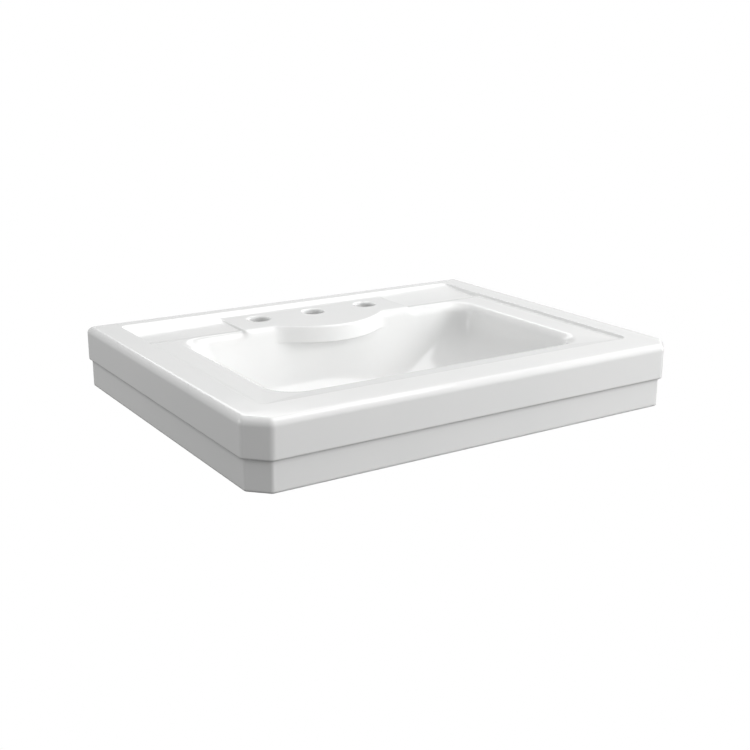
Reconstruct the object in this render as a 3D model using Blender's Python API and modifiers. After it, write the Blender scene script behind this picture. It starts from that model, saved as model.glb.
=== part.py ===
"""Basin of a pedestal sink, with its push-button drain and its wall fixings.

Metres, +X to the right, +Y to the wall, +Z up. The origin is on the basin's wall face,
half-way along the line through its two fixing holes.
"""

import math

import bmesh
import bpy
from mathutils import Matrix, Vector

MM = 0.001
GAP = 0.3 * MM  # between pieces that touch

# Basin, seen from above. Y is 0 at the wall and negative towards the front.
WIDTH = 720 * MM
DEPTH = 558 * MM
RIM_TOP = 55 * MM  # height of the rim above the line of the fixings
CLIP = 29 * MM  # 45 degree clip of the front corners
CLIP_ROUND = 12 * MM
BACK_CORNER = 7 * MM

# Apron, heights below the rim
APRON = 97.8 * MM
UPPER_TIER = 53.4 * MM
TIER_STEP = 5.2 * MM
RIM_ROUND = 10 * MM
TIER_ROUND = 3 * MM
FOOT_ROUND = 4 * MM
WALL = 11 * MM  # thickness of the china
APRON_DRAFT = 1.5 * MM

# Border and sunk deck
BORDER_SIDE = 44 * MM
BORDER_BACK = 27 * MM
BORDER_FRONT = 60 * MM
BORDER_CORNER = 14 * MM
COVE = 5 * MM
DECK_DROP = 6 * MM
DECK_EDGE_DROP = 5 * MM

# Raised tap platform with a bow front
PLATFORM_HALF = 156 * MM
PLATFORM_BACK = -60 * MM
PLATFORM_FRONT = -147 * MM
PLATFORM_DROP = 3 * MM
BOW_HALF = 88 * MM
BOW_FRONT = -188 * MM
BOW_EDGE = 4 * MM
BOW_FACE = 30 * MM  # depth of the bow's lower edge below the rim
EDGE_EASE = 0.4  # how soon the platform's straight ends drop into the bowl's rounded edge
TAP_SPACING = 101.6 * MM
TAP_Y = -86 * MM
TAP_HOLE = 17.5 * MM

# Bowl
BOWL_HALF = 273 * MM
BOWL_BACK = -135 * MM
BOWL_FRONT = -465 * MM
BOWL_BACK_CORNER = 40 * MM
BOWL_FRONT_CORNER = 48 * MM
BOWL_EDGE = 16 * MM
BOWL_FLOOR = 136.5 * MM
DRAIN_Y = -295 * MM
FLOOR_HALF = 48 * MM  # level part of the floor round the drain

# Underside
DECK_UNDER = 18 * MM
UNDER_FILLET = 7 * MM
UNDER_CORNER = 12 * MM
FOOT_HALF = 112 * MM
FOOT_BACK = -214 * MM
FOOT_FRONT = -376 * MM
FOOT_WIDTH = 22 * MM
FOOT_DROP = 162 * MM
FOOT_RECESS = 150 * MM
FOOT_ROOT = 137 * MM  # where the foot grows out of the bowl
FOOT_CORNER = 30 * MM
FOOT_EDGE = 2 * MM
BOSS_RADIUS = 40 * MM
BOSS_HEIGHT = 18 * MM

# Overflow: a chamber in the bow, a slot in its underside, and a passage behind the back wall
CHAMBER_HALF = 50 * MM
CHAMBER_TOP = 15 * MM
CHAMBER_BOTTOM = 27 * MM
CHAMBER_FRONT = BOW_FRONT + 11 * MM
CHAMBER_BACK = BOWL_BACK - 4 * MM
SLOT_FRONT = BOW_FRONT + 13 * MM
SLOT_BACK = BOW_FRONT + 24 * MM
SLOT_BOTTOM = 55 * MM
OVERFLOW_HALF = 22 * MM
OVERFLOW_NEAR = 9 * MM  # distances outwards from the back wall
OVERFLOW_FAR = 17 * MM
SPINE_HALF = 32 * MM
SPINE_NEAR = 5 * MM
SPINE_FAR = 26 * MM
SPINE_TOP = DECK_UNDER - 4 * MM
OUTLET_NEAR = 10 * MM  # below the bowl's floor, at the drain
OUTLET_FAR = 18 * MM

# Wall fixings
FIXING_SPACING = 200 * MM
FIXING_HOLE = 7 * MM
BOLT_RADIUS = 4.76 * MM
BOLT_IN_WALL = 45 * MM
BOLT_TIP = 8 * MM
BOLT_INSIDE = 34 * MM
BOLT_CLEARANCE = 0.34 * MM
GASKET_RADIUS = 19 * MM
GASKET_THICK = 3 * MM
WASHER_RADIUS = 16 * MM
WASHER_THICK = 2 * MM
NUT_FLATS = 14.3 * MM
NUT_THICK = 8.3 * MM

# Drain: radii, and heights below the rim
DRAIN_HOLE = 22.5 * MM
SEAT_RADIUS = 33.5 * MM
SEAT = 140.5 * MM
FLANGE_RADIUS = 31.75 * MM
FLANGE_THICK = 2.6 * MM
THREAD_RADIUS = 20.9 * MM
TUBE_RADIUS = 17.5 * MM
MOUTH_RADIUS = 19 * MM
TUBE_END = 203 * MM
RUBBER_THICK = 1.5 * MM
WINDOW_TOP = 146.3 * MM
WINDOW_BOTTOM = 155.3 * MM
WINDOW_WIDTH = 13 * MM
HUB_RADIUS = 11 * MM
HUB_BORE = 8.3 * MM
HUB_TOP = 162 * MM
HUB_BOTTOM = 170 * MM
SPOKE_WIDTH = 3.2 * MM
SPOKES = 3
SLIP = 0.4 * MM  # clearance of the washers and nut round the thread
SPIGOT_RADIUS = 22.1 * MM
SPIGOT_TOP = 158 * MM
SPIGOT_SKIRT = 30 * MM
SPIGOT_BOTTOM = 172 * MM
FRICTION_RADIUS = 29.5 * MM
FRICTION_THICK = 2 * MM
LOCK_FLATS = 54 * MM
LOCK_THICK = 9.4 * MM

# Push-button cartridge, standing open
TRAVEL = 9.5 * MM
SLEEVE_RADIUS = 8 * MM
SLEEVE_BORE = 6.2 * MM
SLEEVE_TOP = 150 * MM
SLEEVE_BOTTOM = 192 * MM
SLEEVE_LID = 2 * MM
SLEEVE_COLLAR = 10.5 * MM
COLLAR_THICK = 2 * MM
STEM_RADIUS = 3.5 * MM
STEM_BORE = 3.9 * MM
PLUNGER_RADIUS = 5.8 * MM
PLUNGER_LENGTH = 6 * MM
PIN_RADIUS = 2.4 * MM
PIN_END = 172 * MM
CAM_BORE = 2.8 * MM
CAM_LENGTH = 8 * MM
PLUG_THICK = 2.7 * MM
PLUG_SPIGOT = 5.9 * MM
PLUG_RISE = 3 * MM
SPRING_RADIUS = 4.6 * MM
SPRING_WIRE = 0.45 * MM
SPRING_TURNS = 7
CAP_RADIUS = 28 * MM
CAP_DOME = 3.6 * MM
CAP_EDGE = 2.2 * MM
CAP_LIFT = 0.9 * MM  # cap's rim above the flange when it is shut
CAP_BOSS = 6 * MM
CAP_BOSS_LENGTH = 6.5 * MM
SEAL_INNER = 19.8 * MM
SEAL_OUTER = 24 * MM
SEAL_THICK = 1.3 * MM
CAP_NUT_FLATS = 11 * MM
CAP_NUT_THICK = 3 * MM

TURN_STEPS = 40
SMALL_STEPS = 24
TAN_EIGHTH = math.tan(math.pi / 8)
PAST = 5 * MM  # how far a cutter reaches past the material
DRAIN_PLACE = ((0, DRAIN_Y, RIM_TOP), (0, 0, 0))  # location and rotation of turned pieces

# Colour, roughness, metallic
CHINA = ("vitreous_china", (0.90, 0.90, 0.89), 0.08, 0.0)
CHROME = ("chrome", (0.80, 0.81, 0.82), 0.08, 1.0)
BRASS = ("brass", (0.78, 0.60, 0.30), 0.30, 1.0)
ZINC = ("zinc_steel", (0.62, 0.63, 0.64), 0.35, 1.0)
SPRING_STEEL = ("spring_steel", (0.50, 0.51, 0.53), 0.25, 1.0)
BLACK_RUBBER = ("black_rubber", (0.03, 0.03, 0.03), 0.75, 0.0)
GREY_RUBBER = ("grey_rubber", (0.25, 0.25, 0.26), 0.70, 0.0)
ACETAL = ("white_acetal", (0.82, 0.82, 0.80), 0.45, 0.0)


def clear_scene():
    for obj in list(bpy.data.objects):
        bpy.data.objects.remove(obj)


def collection(name):
    made = bpy.data.collections.new(name)
    bpy.context.scene.collection.children.link(made)
    return made


def material(finish):
    name, colour, roughness, metallic = finish
    found = bpy.data.materials.get(name)
    if found:
        return found
    made = bpy.data.materials.new(name)
    made.use_nodes = True
    shader = made.node_tree.nodes["Principled BSDF"]
    shader.inputs["Base Color"].default_value = (*colour, 1.0)
    shader.inputs["Roughness"].default_value = roughness
    shader.inputs["Metallic"].default_value = metallic
    return made


def object_from(bm, name, home, finish=None):
    """A new object from a bmesh, which is freed."""
    mesh = bpy.data.meshes.new(name)
    bm.to_mesh(mesh)
    bm.free()
    obj = bpy.data.objects.new(name, mesh)
    home.objects.link(obj)
    if finish:
        mesh.materials.append(material(finish))
    else:
        obj.hide_render = True
        obj.display_type = "WIRE"
    return obj


def boolean(obj, other, operation):
    modifier = obj.modifiers.new(f"{operation.lower()}_{other.name}", "BOOLEAN")
    modifier.operation = operation
    modifier.object = other


def smooth(obj):
    obj.data.shade_smooth()
    obj.data.set_sharp_from_angle(angle=math.radians(35))


def height(below_rim):
    return RIM_TOP - below_rim


# ---- the basin's outlines -------------------------------------------------------------


class Outline:
    """A rectangle with clipped or rounded corners, at one height below the rim."""

    def __init__(self, half, back, front, drop, back_corner, front_corner):
        self.half = half
        self.back = back
        self.front = front
        self.drop = drop
        self.back_corner = back_corner
        self.front_corner = front_corner


def rounded(radius):
    """(clip, edge round) of a corner that is all but a full quarter round."""
    share = 1.6
    clip = radius / (1 + share * TAN_EIGHTH)
    return clip, share * clip


def clipped(inset):
    """(clip, edge round) of the front corner, drawn in by an inset."""
    return CLIP - inset * (2 - math.sqrt(2)), max(CLIP_ROUND - inset, 2 * MM)


def apron(inset, drop, back=0.0):
    """An outline of the apron: its back stays flush with the wall."""
    corner = rounded(max(BACK_CORNER - inset, 2 * MM))
    return Outline(WIDTH / 2 - inset, -back, inset - DEPTH, drop, corner, clipped(inset))


def bowl(inset, drop, back_lean=0.0, front_lean=0.0, corner=0.0):
    """An outline of the bowl, drawn in from its opening."""
    back = BOWL_BACK - inset + back_lean
    front = BOWL_FRONT + inset - front_lean
    return Outline(
        BOWL_HALF - inset,
        back,
        front,
        drop,
        rounded(BOWL_BACK_CORNER + corner),
        rounded(BOWL_FRONT_CORNER + corner),
    )


def corner_points(vertex, along, away, corner, steps=3):
    """The points of one corner: two eighth-turn arcs with a straight clip between them."""
    clip, radius = corner
    tangent = radius * TAN_EIGHTH
    diagonal = (along + away).normalized()
    inward = (away - along).normalized()
    starts = (
        (vertex - along * (clip + tangent), along, away),
        (vertex + away * clip - diagonal * tangent, diagonal, inward),
    )
    for start, ahead, side in starts:
        for step in range(steps + 1):
            angle = math.pi / 4 * step / steps
            yield start + ahead * radius * math.sin(angle) + side * radius * (1 - math.cos(angle))


# Where the columns of the back stand, as shares of the platform's half width, which shrinks
# to a share of a small outline's straight back
STRAIGHT_SHARE = 0.93
COLUMNS = (0.0, 0.14, 0.28, 0.42, 0.564, 0.64, 1.0, 1.03)


def half_ring(outline):
    """The right half of an outline, from the middle of the back to the middle of the front."""
    reach = outline.back_corner[0] + outline.back_corner[1] * TAN_EIGHTH
    span = min(PLATFORM_HALF, STRAIGHT_SHARE * (outline.half - reach))
    points = [Vector((span * share, outline.back)) for share in COLUMNS]
    right, towards_front = Vector((1, 0)), Vector((0, -1))
    points += corner_points(
        Vector((outline.half, outline.back)), right, towards_front, outline.back_corner
    )
    points.append(Vector((outline.half, (outline.back + outline.front) / 2)))
    points += corner_points(
        Vector((outline.half, outline.front)), towards_front, -right, outline.front_corner
    )
    points += [Vector((span * share, outline.front)) for share in (0.6, 0.0)]
    return points


def ring(outline, shape=None):
    """All points of an outline in space. shape(x, y, drop) may move a point of the back."""
    half = half_ring(outline)
    back = len(COLUMNS)
    points = []
    for index, point in enumerate(half):
        x, y, drop = point.x, point.y, outline.drop
        if shape and index < back:
            y, drop = shape(x, y, drop)
        points.append(Vector((x, y, height(drop))))
    mirrored = [Vector((-p.x, p.y, p.z)) for p in reversed(points[1:-1])]
    return points + mirrored


def bow_line(x):
    """Front edge of the tap platform: straight ends and a bow in the middle."""
    if abs(x) >= BOW_HALF:
        return PLATFORM_FRONT
    sagitta = PLATFORM_FRONT - BOW_FRONT
    radius = (BOW_HALF**2 + sagitta**2) / (2 * sagitta)
    return BOW_FRONT + radius - math.sqrt(radius**2 - x * x)


def beside_platform(x):
    return abs(x) > PLATFORM_HALF + GAP


def platform_shape(x, y, drop):
    return y, drop if beside_platform(x) else PLATFORM_DROP


def bow_shape(edge_inset, edge_drop):
    """Moves a ring of the bowl's edge out to the bow, over the width of the platform."""

    def shape(x, y, drop):
        if beside_platform(x):
            return y, drop
        if abs(x) > BOW_HALF:
            return y, min(drop, edge_drop + EDGE_EASE * drop)
        return min(y, bow_line(x) + edge_inset), edge_drop

    return shape


def opening_shape(x, y, drop):
    if beside_platform(x):
        return y, drop
    return bow_line(x) + BOW_EDGE, PLATFORM_DROP


# The bowl's wall: inset from the opening, drop, and how much less the back and front lean
BOWL_WALL = (
    (22 * MM, 34 * MM, 3.5 * MM, 3 * MM, 0.0),
    (28 * MM, 50 * MM, 7 * MM, 4 * MM, 0.0),
    (56 * MM, 80 * MM, 21 * MM, 12 * MM, 2 * MM),
    (88 * MM, 100 * MM, 37 * MM, 21 * MM, 4 * MM),
    (132 * MM, 117 * MM, 58 * MM, 38 * MM, 8 * MM),
    (178 * MM, 129 * MM, 80 * MM, 60 * MM, 0.0),
)


def outer_rings():
    """From the foot of the apron up over the rim to the edge of the bowl."""
    rings = [
        ring(apron(TIER_STEP + FOOT_ROUND, APRON, FOOT_ROUND)),
        ring(apron(TIER_STEP + 0.3 * FOOT_ROUND, APRON - 0.3 * FOOT_ROUND, 0.3 * FOOT_ROUND)),
        ring(apron(TIER_STEP, APRON - FOOT_ROUND)),
        ring(apron(TIER_STEP, UPPER_TIER + 2.2 * MM)),
        ring(apron(TIER_STEP + 0.8 * MM, UPPER_TIER + 0.6 * MM)),
    ]
    for step in range(3):
        angle = math.pi / 2 * step / 2
        inset = TIER_ROUND * (1 - math.sin(angle))
        rings.append(ring(apron(inset, UPPER_TIER - TIER_ROUND * (1 - math.cos(angle)))))
    for step in range(4):
        angle = math.pi / 2 * step / 3
        inset = RIM_ROUND * (1 - math.cos(angle))
        rings.append(ring(apron(inset, RIM_ROUND * (1 - math.sin(angle)), inset)))
    border = WIDTH / 2 - BORDER_SIDE
    rings.append(
        ring(
            Outline(
                border,
                -BORDER_BACK,
                BORDER_FRONT - DEPTH,
                0.0,
                rounded(BORDER_CORNER),
                rounded(BORDER_CORNER),
            )
        )
    )
    rings.append(
        ring(
            Outline(
                border - COVE,
                PLATFORM_BACK,
                BORDER_FRONT - DEPTH + COVE,
                DECK_EDGE_DROP,
                rounded(BORDER_CORNER),
                rounded(BORDER_CORNER),
            ),
            platform_shape,
        )
    )
    return rings


def bowl_rings():
    """From the bowl's edge down to its floor, with the bow and the overflow hood at the back."""
    rings = [ring(bowl(0.0, DECK_DROP), opening_shape)]
    for step in (1, 2, 3):
        angle = math.pi / 2 * step / 3
        inset = BOWL_EDGE * math.sin(angle)
        drop = DECK_DROP + BOWL_EDGE * (1 - math.cos(angle))
        edge = BOW_EDGE * (1 - math.sin(angle))
        edge_drop = PLATFORM_DROP + BOW_EDGE * (1 - math.cos(angle))
        rings.append(ring(bowl(inset, drop), bow_shape(edge, edge_drop)))
    for row, wall in enumerate(BOWL_WALL):
        rings.append(ring(bowl(*wall), bow_shape(0.0, BOW_FACE) if row == 0 else None))
    corner = rounded(FLOOR_HALF / 2)
    back, front = DRAIN_Y + FLOOR_HALF, DRAIN_Y - FLOOR_HALF
    rings.append(ring(Outline(FLOOR_HALF, back, front, BOWL_FLOOR, corner, corner)))
    return rings


def foot(inset, drop):
    corner = rounded(FOOT_CORNER - inset / 2)
    return ring(
        Outline(FOOT_HALF - inset, FOOT_BACK - inset, FOOT_FRONT + inset, drop, corner, corner)
    )


def under_rings():
    """From the recess inside the pedestal foot out under the bowl and deck to the apron."""
    rings = [
        foot(FOOT_WIDTH + FOOT_EDGE, FOOT_RECESS),
        foot(FOOT_WIDTH, FOOT_DROP - FOOT_EDGE),
        foot(FOOT_WIDTH - FOOT_EDGE, FOOT_DROP),
        foot(FOOT_EDGE, FOOT_DROP),
        foot(0.0, FOOT_DROP - FOOT_EDGE),
        foot(0.0, FOOT_ROOT),
    ]
    # how far each row of the bowl's wall is set out, sideways and down
    thickness = ((0.99, 0.10), (0.96, 0.28), (0.63, 0.78), (0.48, 0.88), (0.33, 0.94))
    shell = []
    for wall, (outwards, down) in zip(BOWL_WALL, thickness):
        inset, drop, back_lean, front_lean, corner = wall
        shell.append(
            ring(
                bowl(
                    inset - WALL * outwards,
                    drop + WALL * down,
                    back_lean,
                    front_lean,
                    corner + WALL / 2,
                )
            )
        )
    rings += reversed(shell)
    inner = WIDTH / 2 - TIER_STEP - WALL
    corner = rounded(UNDER_CORNER)
    clip = clipped(TIER_STEP + WALL)
    rings.append(ring(bowl(-UNDER_FILLET, DECK_UNDER, 0.0, 0.0, UNDER_FILLET)))
    for inset, back_inset, drop in (
        (APRON_DRAFT + UNDER_FILLET, UNDER_FILLET, DECK_UNDER),
        (APRON_DRAFT, 0.0, DECK_UNDER + UNDER_FILLET),
        (0.0, 0.0, APRON),
    ):
        back = -WALL - back_inset
        front = TIER_STEP + WALL + inset - DEPTH
        rings.append(ring(Outline(inner - inset, back, front, drop, corner, clip)))
    return rings


def basin_body(home):
    bm = bmesh.new()
    rows = [[bm.verts.new(p) for p in points] for points in all_rings()]
    for lower, upper in zip(rows, rows[1:]):
        count = len(lower)
        for i in range(count):
            j = (i + 1) % count
            bm.faces.new((lower[i], lower[j], upper[j], upper[i]))
    bm.faces.new(rows[0])
    bm.faces.new(rows[-1])
    bmesh.ops.recalc_face_normals(bm, faces=bm.faces)
    return object_from(bm, "basin", home, CHINA)


def all_rings():
    return under_rings() + outer_rings() + bowl_rings()


# ---- shapes that the basin and the fittings are made from ------------------------------


def turned(name, profile, home, finish=None, steps=TURN_STEPS, place=DRAIN_PLACE):
    """A turned piece. The profile is (radius, drop) pairs, running down its outer side."""
    bm = bmesh.new()
    points = [bm.verts.new((radius, 0, -drop)) for radius, drop in profile]
    pairs = list(zip(points, points[1:]))
    if profile[0][0] > 0:
        pairs.append((points[-1], points[0]))
    for pair in pairs:
        bm.edges.new(pair)
    obj = object_from(bm, name, home, finish)
    obj.location, obj.rotation_euler = place
    screw = obj.modifiers.new("turn", "SCREW")
    screw.steps = steps
    screw.render_steps = steps
    screw.use_merge_vertices = True
    screw.merge_threshold = 1e-6
    screw.use_normal_calculate = False
    return obj


def tube_profile(inner, outer, top, bottom, edge=0.0):
    """A plain ring, with its outer edges broken by a small bevel."""
    if not edge:
        return [(outer, top), (outer, bottom), (inner, bottom), (inner, top)]
    return [
        (outer - edge, top),
        (outer, top + edge),
        (outer, bottom - edge),
        (outer - edge, bottom),
        (inner, bottom),
        (inner, top),
    ]


def cylinder(bm, radius, start, end, sides=TURN_STEPS):
    """Adds a closed cylinder between two points."""
    start, end = Vector(start), Vector(end)
    turn = (end - start).to_track_quat("Z", "Y").to_matrix().to_4x4()
    bmesh.ops.create_cone(
        bm,
        cap_ends=True,
        segments=sides,
        radius1=radius,
        radius2=radius,
        depth=(end - start).length,
        matrix=Matrix.Translation((start + end) / 2) @ turn,
    )


def box(bm, low, high):
    low, high = Vector(low), Vector(high)
    size = Matrix.Diagonal((*(high - low), 1))
    bmesh.ops.create_cube(bm, size=1, matrix=Matrix.Translation((low + high) / 2) @ size)


def band(path, near, far, half_width, name, home):
    """A slab that follows a path in the Y-Z plane, between its two distances from each point."""
    sides = [[], []]
    for index, point in enumerate(path):
        along = (path[min(index + 1, len(path) - 1)] - path[max(index - 1, 0)]).normalized()
        normal = Vector((-along.y, along.x))
        for side, distances in zip(sides, (near, far)):
            side.append(point + normal * distances[index])
    outline = sides[0] + sides[1][::-1]
    bm = bmesh.new()
    face = bm.faces.new([bm.verts.new((-half_width, p.x, p.y)) for p in outline])
    pushed = bmesh.ops.extrude_face_region(bm, geom=[face])["geom"]
    moved = [g for g in pushed if isinstance(g, bmesh.types.BMVert)]
    bmesh.ops.translate(bm, verts=moved, vec=(2 * half_width, 0, 0))
    bmesh.ops.recalc_face_normals(bm, faces=bm.faces)
    return object_from(bm, name, home)


def back_path():
    """The middle of the bowl's back wall, from under the deck down to the drain."""
    rows = [(BOWL_EDGE, SPINE_TOP, 0.0)] + [wall[:3] for wall in BOWL_WALL]
    points = [Vector((BOWL_BACK - inset + lean, height(drop))) for inset, drop, lean in rows]
    points.append(Vector((DRAIN_Y + FLOOR_HALF, height(BOWL_FLOOR))))
    points.append(Vector((DRAIN_Y + DRAIN_HOLE - 4 * MM, height(BOWL_FLOOR))))
    return points


def along_wall(path, on_wall, under_floor):
    """One distance for each point of the back path: the last two are under the floor."""
    return [on_wall] * (len(path) - 2) + [under_floor] * 2


def overflow_cutter(cutters):
    """Chamber inside the bow, slot in the hood's underside, and the passage to the drain."""
    path = back_path()
    near = along_wall(path, OVERFLOW_NEAR, OUTLET_NEAR)
    far = along_wall(path, OVERFLOW_FAR, OUTLET_FAR)
    passage = band(path, near, far, OVERFLOW_HALF, "overflow_passage", cutters)
    bm = bmesh.new()
    box(
        bm,
        (-CHAMBER_HALF, CHAMBER_FRONT, height(CHAMBER_BOTTOM)),
        (CHAMBER_HALF, CHAMBER_BACK, height(CHAMBER_TOP)),
    )
    chamber = object_from(bm, "overflow_chamber", cutters)
    bm = bmesh.new()
    box(
        bm,
        (-OVERFLOW_HALF, SLOT_FRONT, height(SLOT_BOTTOM)),
        (OVERFLOW_HALF, SLOT_BACK, height(CHAMBER_BOTTOM - 1 * MM)),
    )
    slot = object_from(bm, "overflow_slot", cutters)
    boolean(passage, chamber, "UNION")
    boolean(passage, slot, "UNION")
    return passage


def make_basin(home, cutters):
    basin = basin_body(home)
    path = back_path()
    near = along_wall(path, SPINE_NEAR, SPINE_NEAR)
    far = along_wall(path, SPINE_FAR, FOOT_DROP - BOWL_FLOOR - 1 * MM)
    spine = band(path, near, far, SPINE_HALF, "overflow_spine", cutters)
    bm = bmesh.new()
    low = Vector((0.0, DRAIN_Y, height(FOOT_DROP)))
    cylinder(bm, BOSS_RADIUS, low, low + Vector((0, 0, BOSS_HEIGHT)))
    boss = object_from(bm, "drain_boss", cutters)
    outlet = turned(
        "drain_cutter",
        [
            (0, BOWL_FLOOR - PAST),
            (SEAT_RADIUS, BOWL_FLOOR - PAST),
            (SEAT_RADIUS, SEAT),
            (DRAIN_HOLE, SEAT),
            (DRAIN_HOLE, FOOT_DROP + PAST),
            (0, FOOT_DROP + PAST),
        ],
        cutters,
    )
    bm = bmesh.new()
    for column in (-1, 0, 1):
        x = column * TAP_SPACING
        low = Vector((x, TAP_Y, height(DECK_UNDER + PAST)))
        cylinder(bm, TAP_HOLE, low, Vector((x, TAP_Y, height(-PAST))))
    for side in (-1, 1):
        x = side * FIXING_SPACING / 2
        cylinder(bm, FIXING_HOLE, (x, -2 * WALL, 0), (x, WALL, 0), SMALL_STEPS)
    holes = object_from(bm, "hole_cutters", cutters)
    boolean(basin, spine, "UNION")
    boolean(basin, boss, "UNION")
    boolean(basin, overflow_cutter(cutters), "DIFFERENCE")
    boolean(basin, outlet, "DIFFERENCE")
    boolean(basin, holes, "DIFFERENCE")
    smooth(basin)


# ---- the drain ------------------------------------------------------------------------


def make_drain_body(home, cutters):
    flange_top = SEAT - RUBBER_THICK - 2 * GAP - FLANGE_THICK
    flange_low = flange_top + FLANGE_THICK
    body = turned(
        "drain_body",
        [
            (MOUTH_RADIUS + 3 * MM, flange_top),
            (FLANGE_RADIUS - 3 * MM, flange_top + 0.4 * MM),
            (FLANGE_RADIUS, flange_top + 1.6 * MM),
            (FLANGE_RADIUS, flange_low),
            (THREAD_RADIUS, flange_low),
            (THREAD_RADIUS, TUBE_END),
            (TUBE_RADIUS, TUBE_END),
            (TUBE_RADIUS, flange_low + 2 * MM),
            (MOUTH_RADIUS, flange_top + 1.2 * MM),
        ],
        home,
        CHROME,
    )
    hub = turned("spider_hub", tube_profile(HUB_BORE, HUB_RADIUS, HUB_TOP, HUB_BOTTOM), cutters)
    boolean(body, hub, "UNION")
    for spoke in range(SPOKES):
        bm = bmesh.new()
        box(
            bm,
            (HUB_RADIUS - 1.5 * MM, -SPOKE_WIDTH / 2, height(HUB_BOTTOM - 1 * MM)),
            (TUBE_RADIUS + 1.5 * MM, SPOKE_WIDTH / 2, height(HUB_TOP + 1 * MM)),
        )
        arm = object_from(bm, f"spider_arm_{spoke + 1}", cutters)
        arm.location = (0, DRAIN_Y, 0)
        arm.rotation_euler = (0, 0, 2 * math.pi * spoke / SPOKES + math.pi / 2)
        boolean(body, arm, "UNION")
    bm = bmesh.new()
    reach = THREAD_RADIUS + 3 * MM
    half = WINDOW_WIDTH / 2
    box(bm, (-reach, -half, height(WINDOW_BOTTOM)), (reach, half, height(WINDOW_TOP)))
    windows = object_from(bm, "overflow_windows", cutters)
    windows.location = (0, DRAIN_Y, 0)
    windows.rotation_euler = (0, 0, math.pi / 2)
    boolean(body, windows, "DIFFERENCE")
    smooth(body)


def hexagon(name, flats, start, end, home, finish, edge):
    """A hexagon nut between two points on its axis."""
    bm = bmesh.new()
    cylinder(bm, flats / math.sqrt(3), start, end, 6)
    nut = object_from(bm, name, home, finish)
    bevel = nut.modifiers.new("broken_edges", "BEVEL")
    bevel.width = edge
    bevel.segments = 1
    return nut


def bore_cutter(name, radius, start, end, cutters, sides=TURN_STEPS):
    start, end = Vector(start), Vector(end)
    past = (end - start).normalized() * PAST
    bm = bmesh.new()
    cylinder(bm, radius, start - past, end + past, sides)
    return object_from(bm, name, cutters)


def make_seals_and_nut(home, cutters):
    """The rings and the nut that clamp the drain to the china."""
    loose = THREAD_RADIUS + SLIP
    top = SEAT - GAP - RUBBER_THICK
    turned(
        "flange_gasket",
        tube_profile(loose, FLANGE_RADIUS - 0.8 * MM, top, SEAT - GAP),
        home,
        GREY_RUBBER,
    )
    skirt = FOOT_DROP + GAP
    turned(
        "spigot_gasket",
        [
            (SPIGOT_RADIUS - 0.5 * MM, SPIGOT_TOP),
            (SPIGOT_RADIUS, SPIGOT_TOP + 2 * MM),
            (SPIGOT_RADIUS, skirt),
            (SPIGOT_SKIRT - 3 * MM, skirt),
            (SPIGOT_SKIRT, skirt + 2 * MM),
            (SPIGOT_SKIRT, SPIGOT_BOTTOM - 1 * MM),
            (SPIGOT_SKIRT - 1 * MM, SPIGOT_BOTTOM),
            (loose, SPIGOT_BOTTOM),
            (loose, SPIGOT_TOP),
        ],
        home,
        BLACK_RUBBER,
    )
    washer_top = SPIGOT_BOTTOM + GAP
    washer_end = washer_top + FRICTION_THICK
    turned(
        "friction_washer",
        tube_profile(loose, FRICTION_RADIUS, washer_top, washer_end, 0.4 * MM),
        home,
        ACETAL,
    )
    top, bottom = washer_end + GAP, washer_end + GAP + LOCK_THICK
    ends = ((0, DRAIN_Y, height(bottom)), (0, DRAIN_Y, height(top)))
    nut = hexagon("lock_nut", LOCK_FLATS, *ends, home, BRASS, 1.2 * MM)
    boolean(nut, bore_cutter("lock_nut_bore", loose, *ends, cutters), "DIFFERENCE")
    smooth(nut)
    for name in ("flange_gasket", "spigot_gasket", "friction_washer"):
        smooth(bpy.data.objects[name])


# ---- the push-button cartridge --------------------------------------------------------


def plunger_top():
    return SLEEVE_TOP + SLEEVE_LID + GAP


def cam_top():
    return plunger_top() + PLUNGER_LENGTH + GAP


def spring_top():
    return cam_top() + CAM_LENGTH + GAP


def spring_bottom():
    return SLEEVE_BOTTOM - PLUG_RISE - GAP


def cap_rim():
    """Drop of the cap's underside while the drain stands open."""
    flange_top = SEAT - RUBBER_THICK - 2 * GAP - FLANGE_THICK
    return flange_top - CAP_LIFT - TRAVEL


def make_cartridge(home):
    """What stays still: the sleeve in the spider and the plug in its end."""
    collar = HUB_TOP - GAP
    sleeve = turned(
        "cartridge_sleeve",
        [
            (SLEEVE_RADIUS - 0.8 * MM, SLEEVE_TOP),
            (SLEEVE_RADIUS, SLEEVE_TOP + 0.8 * MM),
            (SLEEVE_RADIUS, collar - COLLAR_THICK),
            (SLEEVE_COLLAR, collar - COLLAR_THICK),
            (SLEEVE_COLLAR, collar),
            (SLEEVE_RADIUS, collar),
            (SLEEVE_RADIUS, SLEEVE_BOTTOM),
            (SLEEVE_BORE, SLEEVE_BOTTOM),
            (SLEEVE_BORE, SLEEVE_TOP + SLEEVE_LID),
            (STEM_BORE, SLEEVE_TOP + SLEEVE_LID),
            (STEM_BORE, SLEEVE_TOP),
        ],
        home,
        ACETAL,
        SMALL_STEPS,
    )
    plug = turned(
        "cartridge_plug",
        [
            (0, SLEEVE_BOTTOM - PLUG_RISE),
            (PLUG_SPIGOT, SLEEVE_BOTTOM - PLUG_RISE),
            (PLUG_SPIGOT, SLEEVE_BOTTOM + GAP),
            (SLEEVE_RADIUS, SLEEVE_BOTTOM + GAP),
            (SLEEVE_RADIUS, SLEEVE_BOTTOM + GAP + PLUG_THICK),
            (0, SLEEVE_BOTTOM + GAP + PLUG_THICK),
        ],
        home,
        BRASS,
        SMALL_STEPS,
    )
    smooth(sleeve)
    smooth(plug)


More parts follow.
